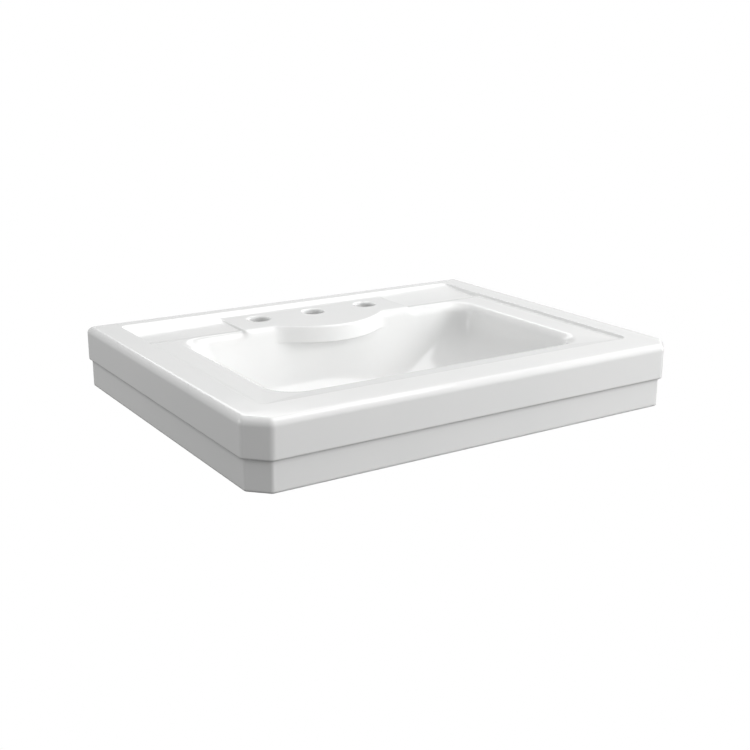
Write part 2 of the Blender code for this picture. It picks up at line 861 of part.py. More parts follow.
def make_stopper(home, cutters):
    """What slides: cap, seal, lock nut and plunger stem."""
    rim = cap_rim()
    boss_end = rim + CAP_BOSS_LENGTH
    stem_top = rim + 1.2 * MM
    recess = SEAL_THICK - 0.3 * MM
    cap = turned(
        "stopper_cap",
        [
            (0, rim - CAP_EDGE - CAP_DOME),
            (0.35 * CAP_RADIUS, rim - CAP_EDGE - 0.88 * CAP_DOME),
            (0.65 * CAP_RADIUS, rim - CAP_EDGE - 0.58 * CAP_DOME),
            (0.88 * CAP_RADIUS, rim - CAP_EDGE - 0.2 * CAP_DOME),
            (CAP_RADIUS - 0.8 * MM, rim - 0.8 * CAP_EDGE),
            (CAP_RADIUS, rim - 0.4 * CAP_EDGE),
            (CAP_RADIUS - 0.6 * MM, rim),
            (SEAL_OUTER + GAP, rim),
            (SEAL_OUTER + GAP, rim - recess),
            (SEAL_INNER - GAP, rim - recess),
            (SEAL_INNER - GAP, rim),
            (CAP_BOSS, rim),
            (CAP_BOSS, boss_end),
            (STEM_RADIUS + GAP, boss_end),
            (STEM_RADIUS + GAP, stem_top - GAP),
            (0, stem_top - GAP),
        ],
        home,
        CHROME,
    )
    seal_top = rim - recess + GAP
    seal = turned(
        "stopper_seal",
        tube_profile(SEAL_INNER, SEAL_OUTER, seal_top, seal_top + SEAL_THICK, 0.3 * MM),
        home,
        BLACK_RUBBER,
    )
    top = boss_end + GAP
    ends = ((0, DRAIN_Y, height(top + CAP_NUT_THICK)), (0, DRAIN_Y, height(top)))
    nut = hexagon("cap_lock_nut", CAP_NUT_FLATS, *ends, home, BRASS, 0.4 * MM)
    boolean(nut, bore_cutter("cap_nut_bore", STEM_RADIUS + GAP, *ends, cutters), "DIFFERENCE")
    head = plunger_top()
    stem = turned(
        "plunger_stem",
        [
            (0, stem_top),
            (STEM_RADIUS - 0.5 * MM, stem_top),
            (STEM_RADIUS, stem_top + 0.5 * MM),
            (STEM_RADIUS, head),
            (PLUNGER_RADIUS, head),
            (PLUNGER_RADIUS, head + PLUNGER_LENGTH),
            (PIN_RADIUS, head + PLUNGER_LENGTH),
            (PIN_RADIUS, PIN_END - 0.8 * MM),
            (PIN_RADIUS - 0.8 * MM, PIN_END),
            (0, PIN_END),
        ],
        home,
        BRASS,
        SMALL_STEPS,
    )
    for obj in (cap, seal, nut, stem):
        smooth(obj)


def make_cam_and_spring(home, cutters):
    top = cam_top()
    cam = turned(
        "cam_rotor",
        tube_profile(CAM_BORE, PLUNGER_RADIUS, top, top + CAM_LENGTH, 0.5 * MM),
        home,
        ACETAL,
        SMALL_STEPS,
    )
    bm = bmesh.new()
    for slot in range(4):
        turn = Matrix.Rotation(math.pi / 2 * slot, 4, "Z")
        start = turn @ Vector((PLUNGER_RADIUS + 0.6 * MM, 0, 0))
        low = Vector((start.x, start.y + DRAIN_Y, height(top + CAM_LENGTH - 3 * MM)))
        cylinder(bm, 1.4 * MM, low, low + Vector((0, 0, 6 * MM)), 10)
    boolean(cam, object_from(bm, "cam_notches", cutters), "DIFFERENCE")
    smooth(cam)

    start, end = spring_bottom() - SPRING_WIRE, spring_top() + SPRING_WIRE
    per_turn = 10
    count = SPRING_TURNS * per_turn
    curve = bpy.data.curves.new("return_spring", "CURVE")
    curve.dimensions = "3D"
    curve.bevel_depth = SPRING_WIRE
    curve.bevel_resolution = 2
    curve.use_fill_caps = True
    spline = curve.splines.new("POLY")
    spline.points.add(count)
    for index, point in enumerate(spline.points):
        share = index / count
        angle = 2 * math.pi * index / per_turn
        x, y = SPRING_RADIUS * math.cos(angle), SPRING_RADIUS * math.sin(angle)
        point.co = (x, y, -(start + (end - start) * share), 1)
    spring = bpy.data.objects.new("return_spring", curve)
    spring.location = (0, DRAIN_Y, RIM_TOP)
    curve.materials.append(material(SPRING_STEEL))
    home.objects.link(spring)


# ---- the wall fixings -----------------------------------------------------------------


def make_wall_fixing(side, x, home, cutters):
    """Hanger bolt with its rubber ring, steel washer and nut, at one of the two holes."""
    place = ((x, 0, 0), (-math.pi / 2, 0, 0))
    bore = BOLT_RADIUS + BOLT_CLEARANCE
    bolt = [
        (0, -BOLT_IN_WALL),
        (0.25 * BOLT_RADIUS, 1 * MM - BOLT_IN_WALL),
        (BOLT_RADIUS, BOLT_TIP - BOLT_IN_WALL),
        (BOLT_RADIUS, BOLT_INSIDE - 1 * MM),
        (BOLT_RADIUS - 1 * MM, BOLT_INSIDE),
        (0, BOLT_INSIDE),
    ]
    gasket = WALL + GAP
    washer = gasket + GASKET_THICK + GAP
    nut = washer + WASHER_THICK + GAP
    rubber = tube_profile(bore, GASKET_RADIUS, gasket, gasket + GASKET_THICK, 0.6 * MM)
    steel = tube_profile(bore, WASHER_RADIUS, washer, washer + WASHER_THICK, 0.3 * MM)
    for name, profile, finish in (
        ("wall_bolt", bolt, ZINC),
        ("wall_gasket", rubber, BLACK_RUBBER),
        ("wall_washer", steel, ZINC),
    ):
        smooth(turned(f"{name}_{side}", profile, home, finish, SMALL_STEPS, place))
    ends = ((x, -nut - NUT_THICK, 0), (x, -nut, 0))
    made = hexagon(f"wall_nut_{side}", NUT_FLATS, *ends, home, ZINC, 0.6 * MM)
    cutter = bore_cutter(f"wall_nut_bore_{side}", bore, *ends, cutters, SMALL_STEPS)
    boolean(made, cutter, "DIFFERENCE")
    smooth(made)


def main():
    clear_scene()
    home = collection("pedestal_sink_basin")
    cutters = collection("cutters")
    make_basin(home, cutters)
    make_drain_body(home, cutters)
    make_seals_and_nut(home, cutters)
    make_cartridge(home)
    make_stopper(home, cutters)
    make_cam_and_spring(home, cutters)
    for side, direction in (("left", -1), ("right", 1)):
        make_wall_fixing(side, direction * FIXING_SPACING / 2, home, cutters)


main()
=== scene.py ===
"""Looks of a pedestal sink's basin, its push-button drain and its wall fixings.

Metres, +X to the right, +Y to the wall, +Z up. The origin is on the basin's wall face,
half-way between its fixing holes. A drop is a depth below the rim.
"""

import math

import bmesh
import bpy
import numpy as np
from mathutils import Matrix, Vector


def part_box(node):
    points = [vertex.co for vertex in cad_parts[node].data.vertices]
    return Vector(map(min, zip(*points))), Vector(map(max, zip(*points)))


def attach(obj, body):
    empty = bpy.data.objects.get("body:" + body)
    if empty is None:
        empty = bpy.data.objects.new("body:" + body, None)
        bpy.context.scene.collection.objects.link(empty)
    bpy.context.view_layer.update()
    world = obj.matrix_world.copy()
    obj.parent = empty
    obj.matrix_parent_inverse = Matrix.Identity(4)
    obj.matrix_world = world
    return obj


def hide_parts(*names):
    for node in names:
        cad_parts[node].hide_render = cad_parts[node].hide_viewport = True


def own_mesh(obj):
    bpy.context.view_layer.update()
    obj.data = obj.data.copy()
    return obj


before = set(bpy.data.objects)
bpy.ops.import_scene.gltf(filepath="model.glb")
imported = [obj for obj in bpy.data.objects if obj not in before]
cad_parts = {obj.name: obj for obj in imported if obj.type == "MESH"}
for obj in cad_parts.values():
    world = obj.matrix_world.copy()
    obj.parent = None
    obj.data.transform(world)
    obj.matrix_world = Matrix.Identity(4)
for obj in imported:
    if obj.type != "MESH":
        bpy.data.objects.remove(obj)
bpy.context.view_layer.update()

MM = 0.001
BASIN_LOW, BASIN_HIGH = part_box("basin")
RIM = BASIN_HIGH.z
HALF_WIDTH = BASIN_HIGH.x
DEPTH = -BASIN_LOW.y
FOOT_DROP = RIM - BASIN_LOW.z

# Apron, in two tiers
APRON = 97.8 * MM
UPPER_TIER = 53.4 * MM
TIER_STEP = 5.2 * MM
RIM_ROUND = 10 * MM
TIER_ROUND = 3 * MM
CREASE_WIDTH = 2 * MM
CREASE_HEIGHT = 7 * MM
APRON_FOOT_ROUND = 4 * MM
CLIP = 29 * MM  # 45 degree clip of the front corners
CLIP_ROUND = 12 * MM
BACK_CORNER = 7 * MM
WALL = 11 * MM
SUPPORT = 1 * MM  # rows this close to a rounding keep the flat beside it flat

# Border, sunk deck and the trough along the back
RECESS_HALF = 316 * MM
RECESS_BACK = -27 * MM
RECESS_FRONT = 60 * MM - DEPTH
RECESS_CORNER = 14 * MM
RECESS_REACH = 11 * MM  # width of the rows that shape the recess's edge
DECK_AT_EDGE = 4 * MM
DECK_AT_BOWL = 6 * MM
TROUGH_DEPTH = 7 * MM
TROUGH_FRONT = 130 * MM
TROUGH_LIP = 6 * MM

# Tap platform with a bow front, and the overflow hood under the bow
PLATFORM_DROP = 3.2 * MM
PLATFORM_HALF = 154.5 * MM
PLATFORM_END = 3.5 * MM
BOW_HALF = 88 * MM
BOW_FRONT = -188 * MM
BOW_BLEND = 20 * MM
BOW_EDGE = 4 * MM
PLATFORM_EDGE = 12 * MM
STEP_SPREAD = 14 * MM  # how far the platform's end step fades out below the rim
HOOD_FACE = 28 * MM
HOOD_HEM = 2 * MM
HOOD_FOOT = 50 * MM
TAP_SPACING = 101.6 * MM
TAP_Y = -86 * MM
TAP_HOLE = 17.5 * MM
TAP_LIP = 3.5 * MM

# Bowl
BOWL_HALF = 273 * MM
BOWL_BACK = -135 * MM
BOWL_FRONT = -465 * MM
BOWL_BACK_CORNER = 40 * MM
BOWL_FRONT_CORNER = 48 * MM
BOWL_EDGE = 16 * MM
# Curves of the wall from the edge to the drain: how far in, at the side, back and front,
# how deep, and the corners' radii
WALL_SIDE = (16 * MM, 24 * MM, 110 * MM, 239.5 * MM)
WALL_BACK = (16 * MM, 20 * MM, 62.5 * MM, 126.5 * MM)
WALL_FRONT = (16 * MM, 20 * MM, 91 * MM, 136.5 * MM)
WALL_DROP = (22 * MM, 88 * MM, 126 * MM, 138 * MM)
CORNER_BACK = (40 * MM, 44 * MM, 90 * MM, 33.5 * MM)
CORNER_FRONT = (48 * MM, 52 * MM, 90 * MM, 33.5 * MM)
DRAIN_Y = (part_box("drain_body")[0].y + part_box("drain_body")[1].y) / 2
DRAIN_PLACE = Matrix.Translation((0, DRAIN_Y, RIM))

# Underside
DECK_UNDER = 18 * MM
UNDER_FILLET = 8 * MM
FOOT_HALF = 112 * MM
FOOT_BACK = -214 * MM
FOOT_FRONT = -376 * MM
FOOT_WIDTH = 22 * MM
FOOT_RECESS = 150 * MM
FOOT_CORNER = 30 * MM
BOSS_RADIUS = 40 * MM

# Drain and wall fixings; the drain's levels are drops
WINDOW_TOP, WINDOW_BOTTOM = 146.3 * MM, 155.3 * MM
THREAD_TOP = 156.6 * MM
HUB_TOP, HUB_BOTTOM = 162 * MM, 170 * MM
SPOKE_TOP, SPOKE_BOTTOM = 163 * MM, 169 * MM
FIXING_X = 100 * MM
FIXING_HOLE = 7 * MM

# Columns of the loft: how many steps in each stretch of half an outline
BOW_STEPS = 22
STRAIGHT_STEPS = 12
END_STEPS = 14
CORNER_STEPS = 7
CLIP_STEPS = 5
EDGE_ROWS = 12
DECK_ROWS = 40
WALL_ROWS = 34
TAN_EIGHTH = math.tan(math.pi / 8)
TURN_STEPS = 96


# ---- small helpers --------------------------------------------------------------------


def mix(a, b, share):
    return a + (b - a) * share


def ease(low, high, value):
    """0 below low, 1 above high, and a smooth step between them."""
    share = np.clip((value - low) / (high - low), 0, 1)
    return share * share * (3 - 2 * share)


def soft_min(a, b, width):
    share = np.clip(0.5 + 0.5 * (b - a) / width, 0, 1)
    return mix(b, a, share) - width * share * (1 - share)


def cubic(control, share):
    """A point at a share of the way along a cubic curve."""
    a, b, c, d = control
    rest = 1 - share
    return a * rest**3 + 3 * b * share * rest**2 + 3 * c * share**2 * rest + d * share**3


def object_from(bm, name):
    mesh = bpy.data.meshes.new(name)
    bm.to_mesh(mesh)
    bm.free()
    obj = bpy.data.objects.new(name, mesh)
    bpy.context.scene.collection.objects.link(obj)
    return obj


def baked(obj):
    """Turns an object's modifiers into its mesh."""
    evaluated = obj.evaluated_get(bpy.context.evaluated_depsgraph_get())
    mesh = bpy.data.meshes.new_from_object(evaluated)
    obj.modifiers.clear()
    obj.data = mesh
    return obj


def combine(obj, others, operation):
    """Joins solids to an object or cuts them out of it."""
    for other in others:
        modifier = obj.modifiers.new(other.name, "BOOLEAN")
        modifier.operation = operation
        modifier.object = other
    baked(obj)
    for other in others:
        bpy.data.objects.remove(other)
    return obj


def piece(obj, body, slot, finish, *nodes, sharp=35):
    """Gives a finished mesh its material, its body and the CAD nodes it stands for."""
    obj.data.materials.clear()
    obj.data.materials.append(finish)
    obj.data.shade_smooth()
    obj.data.set_sharp_from_angle(angle=math.radians(sharp))
    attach(obj, body)
    if nodes:
        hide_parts(*nodes)
    return obj


# ---- outlines of the basin ------------------------------------------------------------


def rounded(radius):
    """(clip, edge round) of a corner that is all but a full quarter round."""
    share = 1.6
    clip = radius / (1 + share * TAN_EIGHTH)
    return clip, share * clip


def clipped(inset):
    """(clip, edge round) of a front corner of the apron, drawn in by an inset."""
    return CLIP - inset * (2 - math.sqrt(2)), max(CLIP_ROUND - inset, 2 * MM)


def outline(half, back, front, drop, back_corner, front_corner):
    return np.array([half, back, front, drop, *back_corner, *front_corner])


def apron(inset, drop, back=0.0):
    corner = rounded(max(BACK_CORNER - back, 2 * MM))
    return outline(HALF_WIDTH - inset, -back, inset - DEPTH, drop, corner, clipped(inset))


def inner_wall(inset, drop, back=0.0):
    """The inside of the apron, a wall's thickness in from its lower tier."""
    inset += TIER_STEP + WALL
    corner = rounded(12 * MM)
    return outline(HALF_WIDTH - inset, -WALL - back, inset - DEPTH, drop, corner, clipped(inset))


def recess(inset):
    corner = rounded(max(RECESS_CORNER - inset, 3 * MM))
    back, front = RECESS_BACK - inset, RECESS_FRONT + inset
    return outline(RECESS_HALF - inset, back, front, 0.0, corner, corner)


def bowl(inset, drop):
    corners = rounded(BOWL_BACK_CORNER), rounded(BOWL_FRONT_CORNER)
    return outline(BOWL_HALF - inset, BOWL_BACK - inset, BOWL_FRONT + inset, drop, *corners)


def bowl_wall(share, outwards=0.0, down=0.0):
    """The bowl's wall at a share of the way from its edge to the drain."""
    return outline(
        BOWL_HALF - cubic(WALL_SIDE, share) + outwards,
        BOWL_BACK - cubic(WALL_BACK, share) + outwards,
        BOWL_FRONT + cubic(WALL_FRONT, share) - outwards, cubic(WALL_DROP, share) + down,
        rounded(cubic(CORNER_BACK, share) + outwards),
        rounded(cubic(CORNER_FRONT, share) + outwards),
    )


SHARES = np.linspace(0, 1, 400)
DROPS = cubic(WALL_DROP, SHARES)


def share_at(drop):
    return float(np.interp(drop, DROPS, SHARES))


def shell(share):
    """The outside of the bowl's wall, square to its side."""
    step = 0.01
    inwards = cubic(WALL_SIDE, share + step) - cubic(WALL_SIDE, share - step)
    downwards = cubic(WALL_DROP, share + step) - cubic(WALL_DROP, share - step)
    length = math.hypot(inwards, downwards)
    return bowl_wall(share, WALL * downwards / length, WALL * inwards / length)


def foot(inset, drop):
    corner = rounded(FOOT_CORNER - inset / 2)
    return outline(FOOT_HALF - inset, FOOT_BACK - inset, FOOT_FRONT + inset, drop, corner, corner)


def bend(start, corner, end, steps):
    """Outlines round a corner, on a quarter of an ellipse."""
    angles = np.linspace(0, math.pi / 2, steps + 1)
    return [
        corner + (start - corner) * (1 - math.sin(a)) + (end - corner) * (1 - math.cos(a))
        for a in angles
    ]


# ---- points of an outline -------------------------------------------------------------


def corner_points(vertex, along, away, clip, radius):
    """Round, straight clip and round, between two straight edges."""
    tangent = radius * TAN_EIGHTH
    diagonal = (along + away) / math.sqrt(2)
    inward = (away - along) / math.sqrt(2)
    angles = np.linspace(0, math.pi / 4, CORNER_STEPS + 1)[:, None]
    ahead, aside = radius * np.sin(angles), radius * (1 - np.cos(angles))
    first = vertex - along * (clip + tangent) + ahead * along + aside * away
    second = vertex + away * clip - diagonal * tangent + ahead * diagonal + aside * inward
    between = np.linspace(0, 1, CLIP_STEPS + 1)[1:-1, None]
    return np.concatenate([first, mix(first[-1], second[0], between), second])


def steps_between(*stops):
    """Shares that run from stop to stop: (place, number of steps to it) after the first."""
    shares = [np.array([stops[0]])]
    for place, count in stops[1:]:
        shares.append(np.linspace(shares[-1][-1], place, count + 1)[1:])
    return np.concatenate(shares)


BACK_PLACES = steps_between(
    0.0, (BOW_HALF, BOW_STEPS), (PLATFORM_HALF - 2 * MM, STRAIGHT_STEPS),
    (PLATFORM_HALF + PLATFORM_END + 2 * MM, END_STEPS),
)
OUTER_SHARES = steps_between(0.0, (0.95, 8), (0.99, 1))
SIDE_SHARES = steps_between(0.0, (0.006, 1), (0.25, 22), (0.992, 20), (1.0, 1))
FRONT_SHARES = steps_between(0.0, (0.006, 1), (1.0, 24))


def half_ring(shape, evenness):
    """The right half of an outline, from the middle of the back to the middle of the front.

    Evenness spreads the points evenly round a small outline, whose straights are short.
    """
    half, back, front, _, back_clip, back_round, front_clip, front_round = shape
    right, ahead = np.array([1.0, 0.0]), np.array([0.0, -1.0])
    reach = half - back_clip - back_round * TAN_EIGHTH
    squeeze = min(1.0, 0.92 * reach / BACK_PLACES[-1])
    inner = BACK_PLACES * squeeze
    outer = inner[-1] + OUTER_SHARES[1:] * (reach - inner[-1])
    across = np.concatenate([inner, outer])
    straight = np.stack([across, np.full_like(across, back)], axis=1)
    back_corner = corner_points(np.array([half, back]), right, ahead, back_clip, back_round)
    front_corner = corner_points(np.array([half, front]), ahead, -right, front_clip, front_round)
    side = mix(back_corner[-1], front_corner[0], SIDE_SHARES[1:-1, None])
    middle = np.array([0.0, front])
    front_run = mix(front_corner[-1], middle, FRONT_SHARES[1:, None])
    points = np.concatenate([straight, back_corner, side, front_corner, front_run])
    if evenness == 0:
        return points
    lengths = np.linalg.norm(np.diff(points, axis=0), axis=1)
    travelled = np.concatenate([[0.0], np.cumsum(lengths)])
    even = np.linspace(0, travelled[-1], len(points))
    wanted = mix(travelled, even, evenness)
    return np.stack([np.interp(wanted, travelled, points[:, axis]) for axis in (0, 1)], axis=1)


class Row:
    """One closed row of the basin's surface. reshape(x, y, drop) may move its points."""

    def __init__(self, shape, reshape=None, evenness=0.0):
        self.shape = shape
        self.reshape = reshape
        self.evenness = evenness

    def points(self):
        x, y = half_ring(self.shape, self.evenness).T
        drop = np.full_like(x, self.shape[3])
        if self.reshape:
            y, drop = self.reshape(x, y, drop)
        half = np.stack([x, y, RIM - drop], axis=1)
        mirrored = half[-2:0:-1] * (-1, 1, 1)
        return np.concatenate([half, mirrored])


# ---- relief of the deck ---------------------------------------------------------------


def bow_line(x):
    """Front face of the platform: an arc that runs softly into its straight ends."""
    straight = BOWL_BACK - BOWL_EDGE
    sagitta = straight - BOW_FRONT
    radius = (BOW_HALF**2 + sagitta**2) / (2 * sagitta)
    across = np.minimum(np.abs(x), 0.98 * radius)
    arc = BOW_FRONT + radius - np.sqrt(radius**2 - across**2)
    return soft_min(arc, straight, BOW_BLEND)


def bow_standout(x):
    """How far the bow stands out from the bowl's back wall."""
    return BOWL_BACK - BOWL_EDGE - bow_line(x)


def platform_round(x):
    return mix(BOW_EDGE, PLATFORM_EDGE, ease(BOW_HALF - 8 * MM, BOW_HALF + 22 * MM, np.abs(x)))


def on_platform(x, spread=0.0):
    """1 on the platform and 0 beside it. Its end is a step, softer by the spread."""
    return 1 - ease(PLATFORM_HALF - spread, PLATFORM_HALF + PLATFORM_END + spread, np.abs(x))


def trough(y):
    reach = np.clip((TROUGH_FRONT + y) / (TROUGH_FRONT + RECESS_BACK), 0, 1)
    return TROUGH_DEPTH * (1 - reach**2)


def deck_drop(x, y, share):
    """Drop of the recess at a share of the way from its edge to the bowl's opening."""
    deck = mix(DECK_AT_EDGE, DECK_AT_BOWL, share)
    sunk = mix(trough(y), deck, ease(TROUGH_FRONT - TROUGH_LIP, TROUGH_FRONT + TROUGH_LIP, -y))
    raised = soft_min(trough(y), PLATFORM_DROP, 0.5 * MM)
    return mix(sunk, raised, on_platform(x) * at_back(y, DRAIN_Y))


def edge_share(inset, depth):
    """How far down its edge the recess is: a small round, a steep wall and a cove."""
    width = np.maximum(1.6 * depth - 2.5 * MM, 2 * MM)
    share = np.clip(inset / width, 0, 1)
    return 1 - (1 - share**1.6) ** 2.2


def recess_row(inset):
    def reshape(x, y, drop):
        depth = deck_drop(x, y, 0.0)
        return y, depth * edge_share(inset, depth)

    return Row(recess(inset), reshape)


def deck_row(share):
    """A row between the recess's edge and the opening, which bends round the bow."""
    start = recess(RECESS_REACH)

    def reshape(x, y, drop):
        end = bow_line(x) + platform_round(x)
        bent = mix(RECESS_BACK - RECESS_REACH, end, share)
        y = mix(y, bent, on_platform(x) * (y > BOWL_BACK - MM))
        return y, deck_drop(x, y, share)

    return Row(mix(start, bowl(0.0, 0.0), share), reshape)


def at_back(y, limit):
    """True for the points of a row's back straight."""
    return y > limit


def lip_row(angle):
    """The rounded edge of the bowl, and of the platform above it."""
    inset, fall = BOWL_EDGE * math.sin(angle), 1 - math.cos(angle)
    shape = bowl(inset, DECK_AT_BOWL + BOWL_EDGE * fall)

    def reshape(x, y, drop):
        edge = platform_round(x)
        share = on_platform(x, STEP_SPREAD * fall) * at_back(y, shape[1] - MM)
        lip = bow_line(x) + edge * (1 - math.sin(angle))
        return mix(y, lip, share), mix(drop, PLATFORM_DROP + edge * fall, share)

    return Row(shape, reshape)


def face_row(share):
    """The face of the bow and of the platform's straight ends, down to the hem."""
    drop_here = mix(DECK_AT_BOWL + BOWL_EDGE, HOOD_FACE, share)
    shape = bowl_wall(share_at(drop_here))

    def reshape(x, y, drop):
        top = PLATFORM_DROP + platform_round(x)
        here = on_platform(x, STEP_SPREAD) * at_back(y, shape[1] - MM)
        return y - here * bow_standout(x), mix(drop, mix(top, HOOD_FACE, share), here)

    return Row(shape, reshape)


def hood_row(drop_here, standout):
    """A row under the bow. standout(amount, hem) is what is left of the bow there."""
    shape = bowl_wall(share_at(drop_here))

    def reshape(x, y, drop):
        here = on_platform(x, STEP_SPREAD) * at_back(y, shape[1] - MM)
        amount = np.maximum(bow_standout(x), 0)
        hem = np.minimum(HOOD_HEM, amount / 2)
        return y - here * standout(amount, hem), drop

    return Row(shape, reshape)


def hood_rows():
    """Round the bow's lower edge, then back in a cove to the bowl's wall."""
    rows = []
    for angle in np.linspace(0, math.pi / 2, 5)[1:]:
        turn = 1 - math.cos(angle)
        drop = HOOD_FACE + HOOD_HEM * math.sin(angle)
        rows.append(hood_row(drop, lambda amount, hem, turn=turn: amount - hem * turn))
    depth = HOOD_FOOT - HOOD_FACE - HOOD_HEM
    for angle in np.linspace(0, math.pi / 2, 13)[1:]:
        left = 1 - math.sin(angle)
        drop = HOOD_FOOT - depth * math.cos(angle)
        rows.append(hood_row(drop, lambda amount, hem, left=left: (amount - hem) * left))
    return rows


# ---- the basin's surface, row by row --------------------------------------------------


def under_rows():
    """From the recess in the foot, out under the bowl and deck, and down inside the apron."""
    inside, edge = FOOT_WIDTH, 2 * MM
    shapes = [foot(inside + 12 * MM, FOOT_RECESS)]
    shapes += bend(
        foot(inside + 3 * MM, FOOT_RECESS), foot(inside, FOOT_RECESS), foot(inside, FOOT_RECESS + 3 * MM), 4
    )
    shapes += bend(
        foot(inside, FOOT_DROP - edge), foot(inside, FOOT_DROP), foot(inside - edge, FOOT_DROP), 3
    )
    shapes += bend(foot(edge, FOOT_DROP), foot(0.0, FOOT_DROP), foot(0.0, FOOT_DROP - edge), 3)
    root = shell(share_at(117 * MM))
    shapes += bend(foot(0.0, 147 * MM), foot(0.0, 136 * MM), root, 8)
    shapes += [shell(share_at(drop)) for drop in np.linspace(117, 30, 12)[1:] * MM]
    top = shell(share_at(30 * MM))
    under_edge = bowl(-UNDER_FILLET, DECK_UNDER)
    sharp = top.copy()
    sharp[3] = DECK_UNDER
    shapes += bend(top, sharp, under_edge, 6)[1:]
    draft = 1.5 * MM
    fillet = UNDER_FILLET
    start = inner_wall(draft + fillet, DECK_UNDER, fillet)
    shapes += [mix(under_edge, start, share) for share in (0.1, 0.5, 0.9)]
    shapes += bend(start, inner_wall(draft, DECK_UNDER), inner_wall(draft, DECK_UNDER + fillet), 5)
    return [Row(shape, None, ease(150 * MM, 115 * MM, shape[0])) for shape in shapes]


def apron_rows():
    """From the apron's lower edge up its two tiers and over the rim."""
    soft = 2 * MM
    bottom, foot_round = APRON, APRON_FOOT_ROUND
    shapes = bend(
        inner_wall(0.0, bottom - soft), inner_wall(0.0, bottom), inner_wall(-soft, bottom, -soft), 3
    )
    shapes += bend(
        apron(TIER_STEP + foot_round, bottom, foot_round), apron(TIER_STEP, bottom),
        apron(TIER_STEP, bottom - foot_round), 5,
    )
    shapes.append(apron(TIER_STEP, bottom - foot_round - SUPPORT))
    shapes.append(apron(TIER_STEP, UPPER_TIER + CREASE_HEIGHT + SUPPORT))
    shapes += bend(
        apron(TIER_STEP, UPPER_TIER + CREASE_HEIGHT), apron(TIER_STEP, UPPER_TIER),
        apron(TIER_STEP - CREASE_WIDTH, UPPER_TIER), 8,
    )
    shapes += bend(
        apron(TIER_ROUND, UPPER_TIER), apron(0.0, UPPER_TIER), apron(0.0, UPPER_TIER - TIER_ROUND), 6
    )
    shapes.append(apron(0.0, UPPER_TIER - TIER_ROUND - SUPPORT))
    shapes.append(apron(0.0, RIM_ROUND + SUPPORT))
    rim_end = apron(RIM_ROUND, 0.0, RIM_ROUND)
    shapes += bend(apron(0.0, RIM_ROUND), apron(0.0, 0.0), rim_end, 12)
    edge = recess(-SUPPORT)
    shapes += [mix(rim_end, edge, share) for share in (0.05, 0.5, 1.0)]
    return [Row(shape) for shape in shapes]


def top_rows():
    """The recess, the deck with its trough and platform, and the bowl down to the drain."""
    insets = RECESS_REACH * np.linspace(0, 1, EDGE_ROWS) ** 1.3
    rows = [recess_row(inset) for inset in insets]
    rows += [deck_row(share) for share in np.linspace(0, 1, DECK_ROWS + 1)[1:-1]]
    rows += [lip_row(angle) for angle in np.linspace(0, math.pi / 2, 13)]
    rows += [face_row(share) for share in (0.25, 0.5, 0.75, 1.0)]
    rows += hood_rows()
    for share in np.linspace(share_at(HOOD_FOOT), 1, WALL_ROWS + 1)[1:]:
        shape = bowl_wall(share)
        rows.append(Row(shape, None, float(ease(60 * MM, 128 * MM, shape[3]))))
    seat = rows[-1].shape.copy()
    centre = np.array([0.0, DRAIN_Y, DRAIN_Y, seat[3], 0, 0, 0, 0])
    rows.append(Row(mix(seat, centre, 0.12), None, 1.0))
    return rows


def loft(rows, name):
    """A closed surface through rows of equal length, with a face at each end."""
    points = np.stack([row.points() for row in rows])
    count, around = points.shape[:2]
    bm = bmesh.new()
    verts = [bm.verts.new(p) for p in points.reshape(-1, 3).tolist()]
    bm.verts.ensure_lookup_table()
    for row in range(count - 1):
        low, high = row * around, (row + 1) * around
        for i in range(around):
            j = (i + 1) % around
            bm.faces.new((verts[low + i], verts[low + j], verts[high + j], verts[high + i]))
    bm.faces.new(verts[:around])
    bm.faces.new(verts[-around:])
    bmesh.ops.recalc_face_normals(bm, faces=bm.faces)
    return object_from(bm, name)


# ---- turned, swept and hexagonal shapes -----------------------------------------------


def turned(name, profile, steps=TURN_STEPS, place=DRAIN_PLACE, edge=0.0):
    """A turned piece from (radius, drop) pairs, with its edges broken by a small round."""
    bm = bmesh.new()
    verts = [bm.verts.new((radius, 0, -drop)) for radius, drop in profile]
    edges = [bm.edges.new(pair) for pair in zip(verts, verts[1:])]
    if profile[0][0] > 0:
        edges.append(bm.edges.new((verts[-1], verts[0])))
    bmesh.ops.spin(
        bm, geom=verts + edges, cent=(0, 0, 0), axis=(0, 0, 1), angle=2 * math.pi, steps=steps,
        use_merge=True,
    )
    bmesh.ops.remove_doubles(bm, verts=bm.verts, dist=1e-7)
    bmesh.ops.recalc_face_normals(bm, faces=bm.faces)
    bmesh.ops.transform(bm, matrix=place, verts=bm.verts)
    obj = object_from(bm, name)
    if edge:
        broken = obj.modifiers.new("edges", "BEVEL")
        broken.width = edge
        broken.segments = 2
        broken.limit_method = "ANGLE"
        broken.angle_limit = math.radians(35)
        baked(obj)
    return obj


def washer_profile(inner, outer, top, bottom):
    return [(outer, top), (outer, bottom), (inner, bottom), (inner, top)]


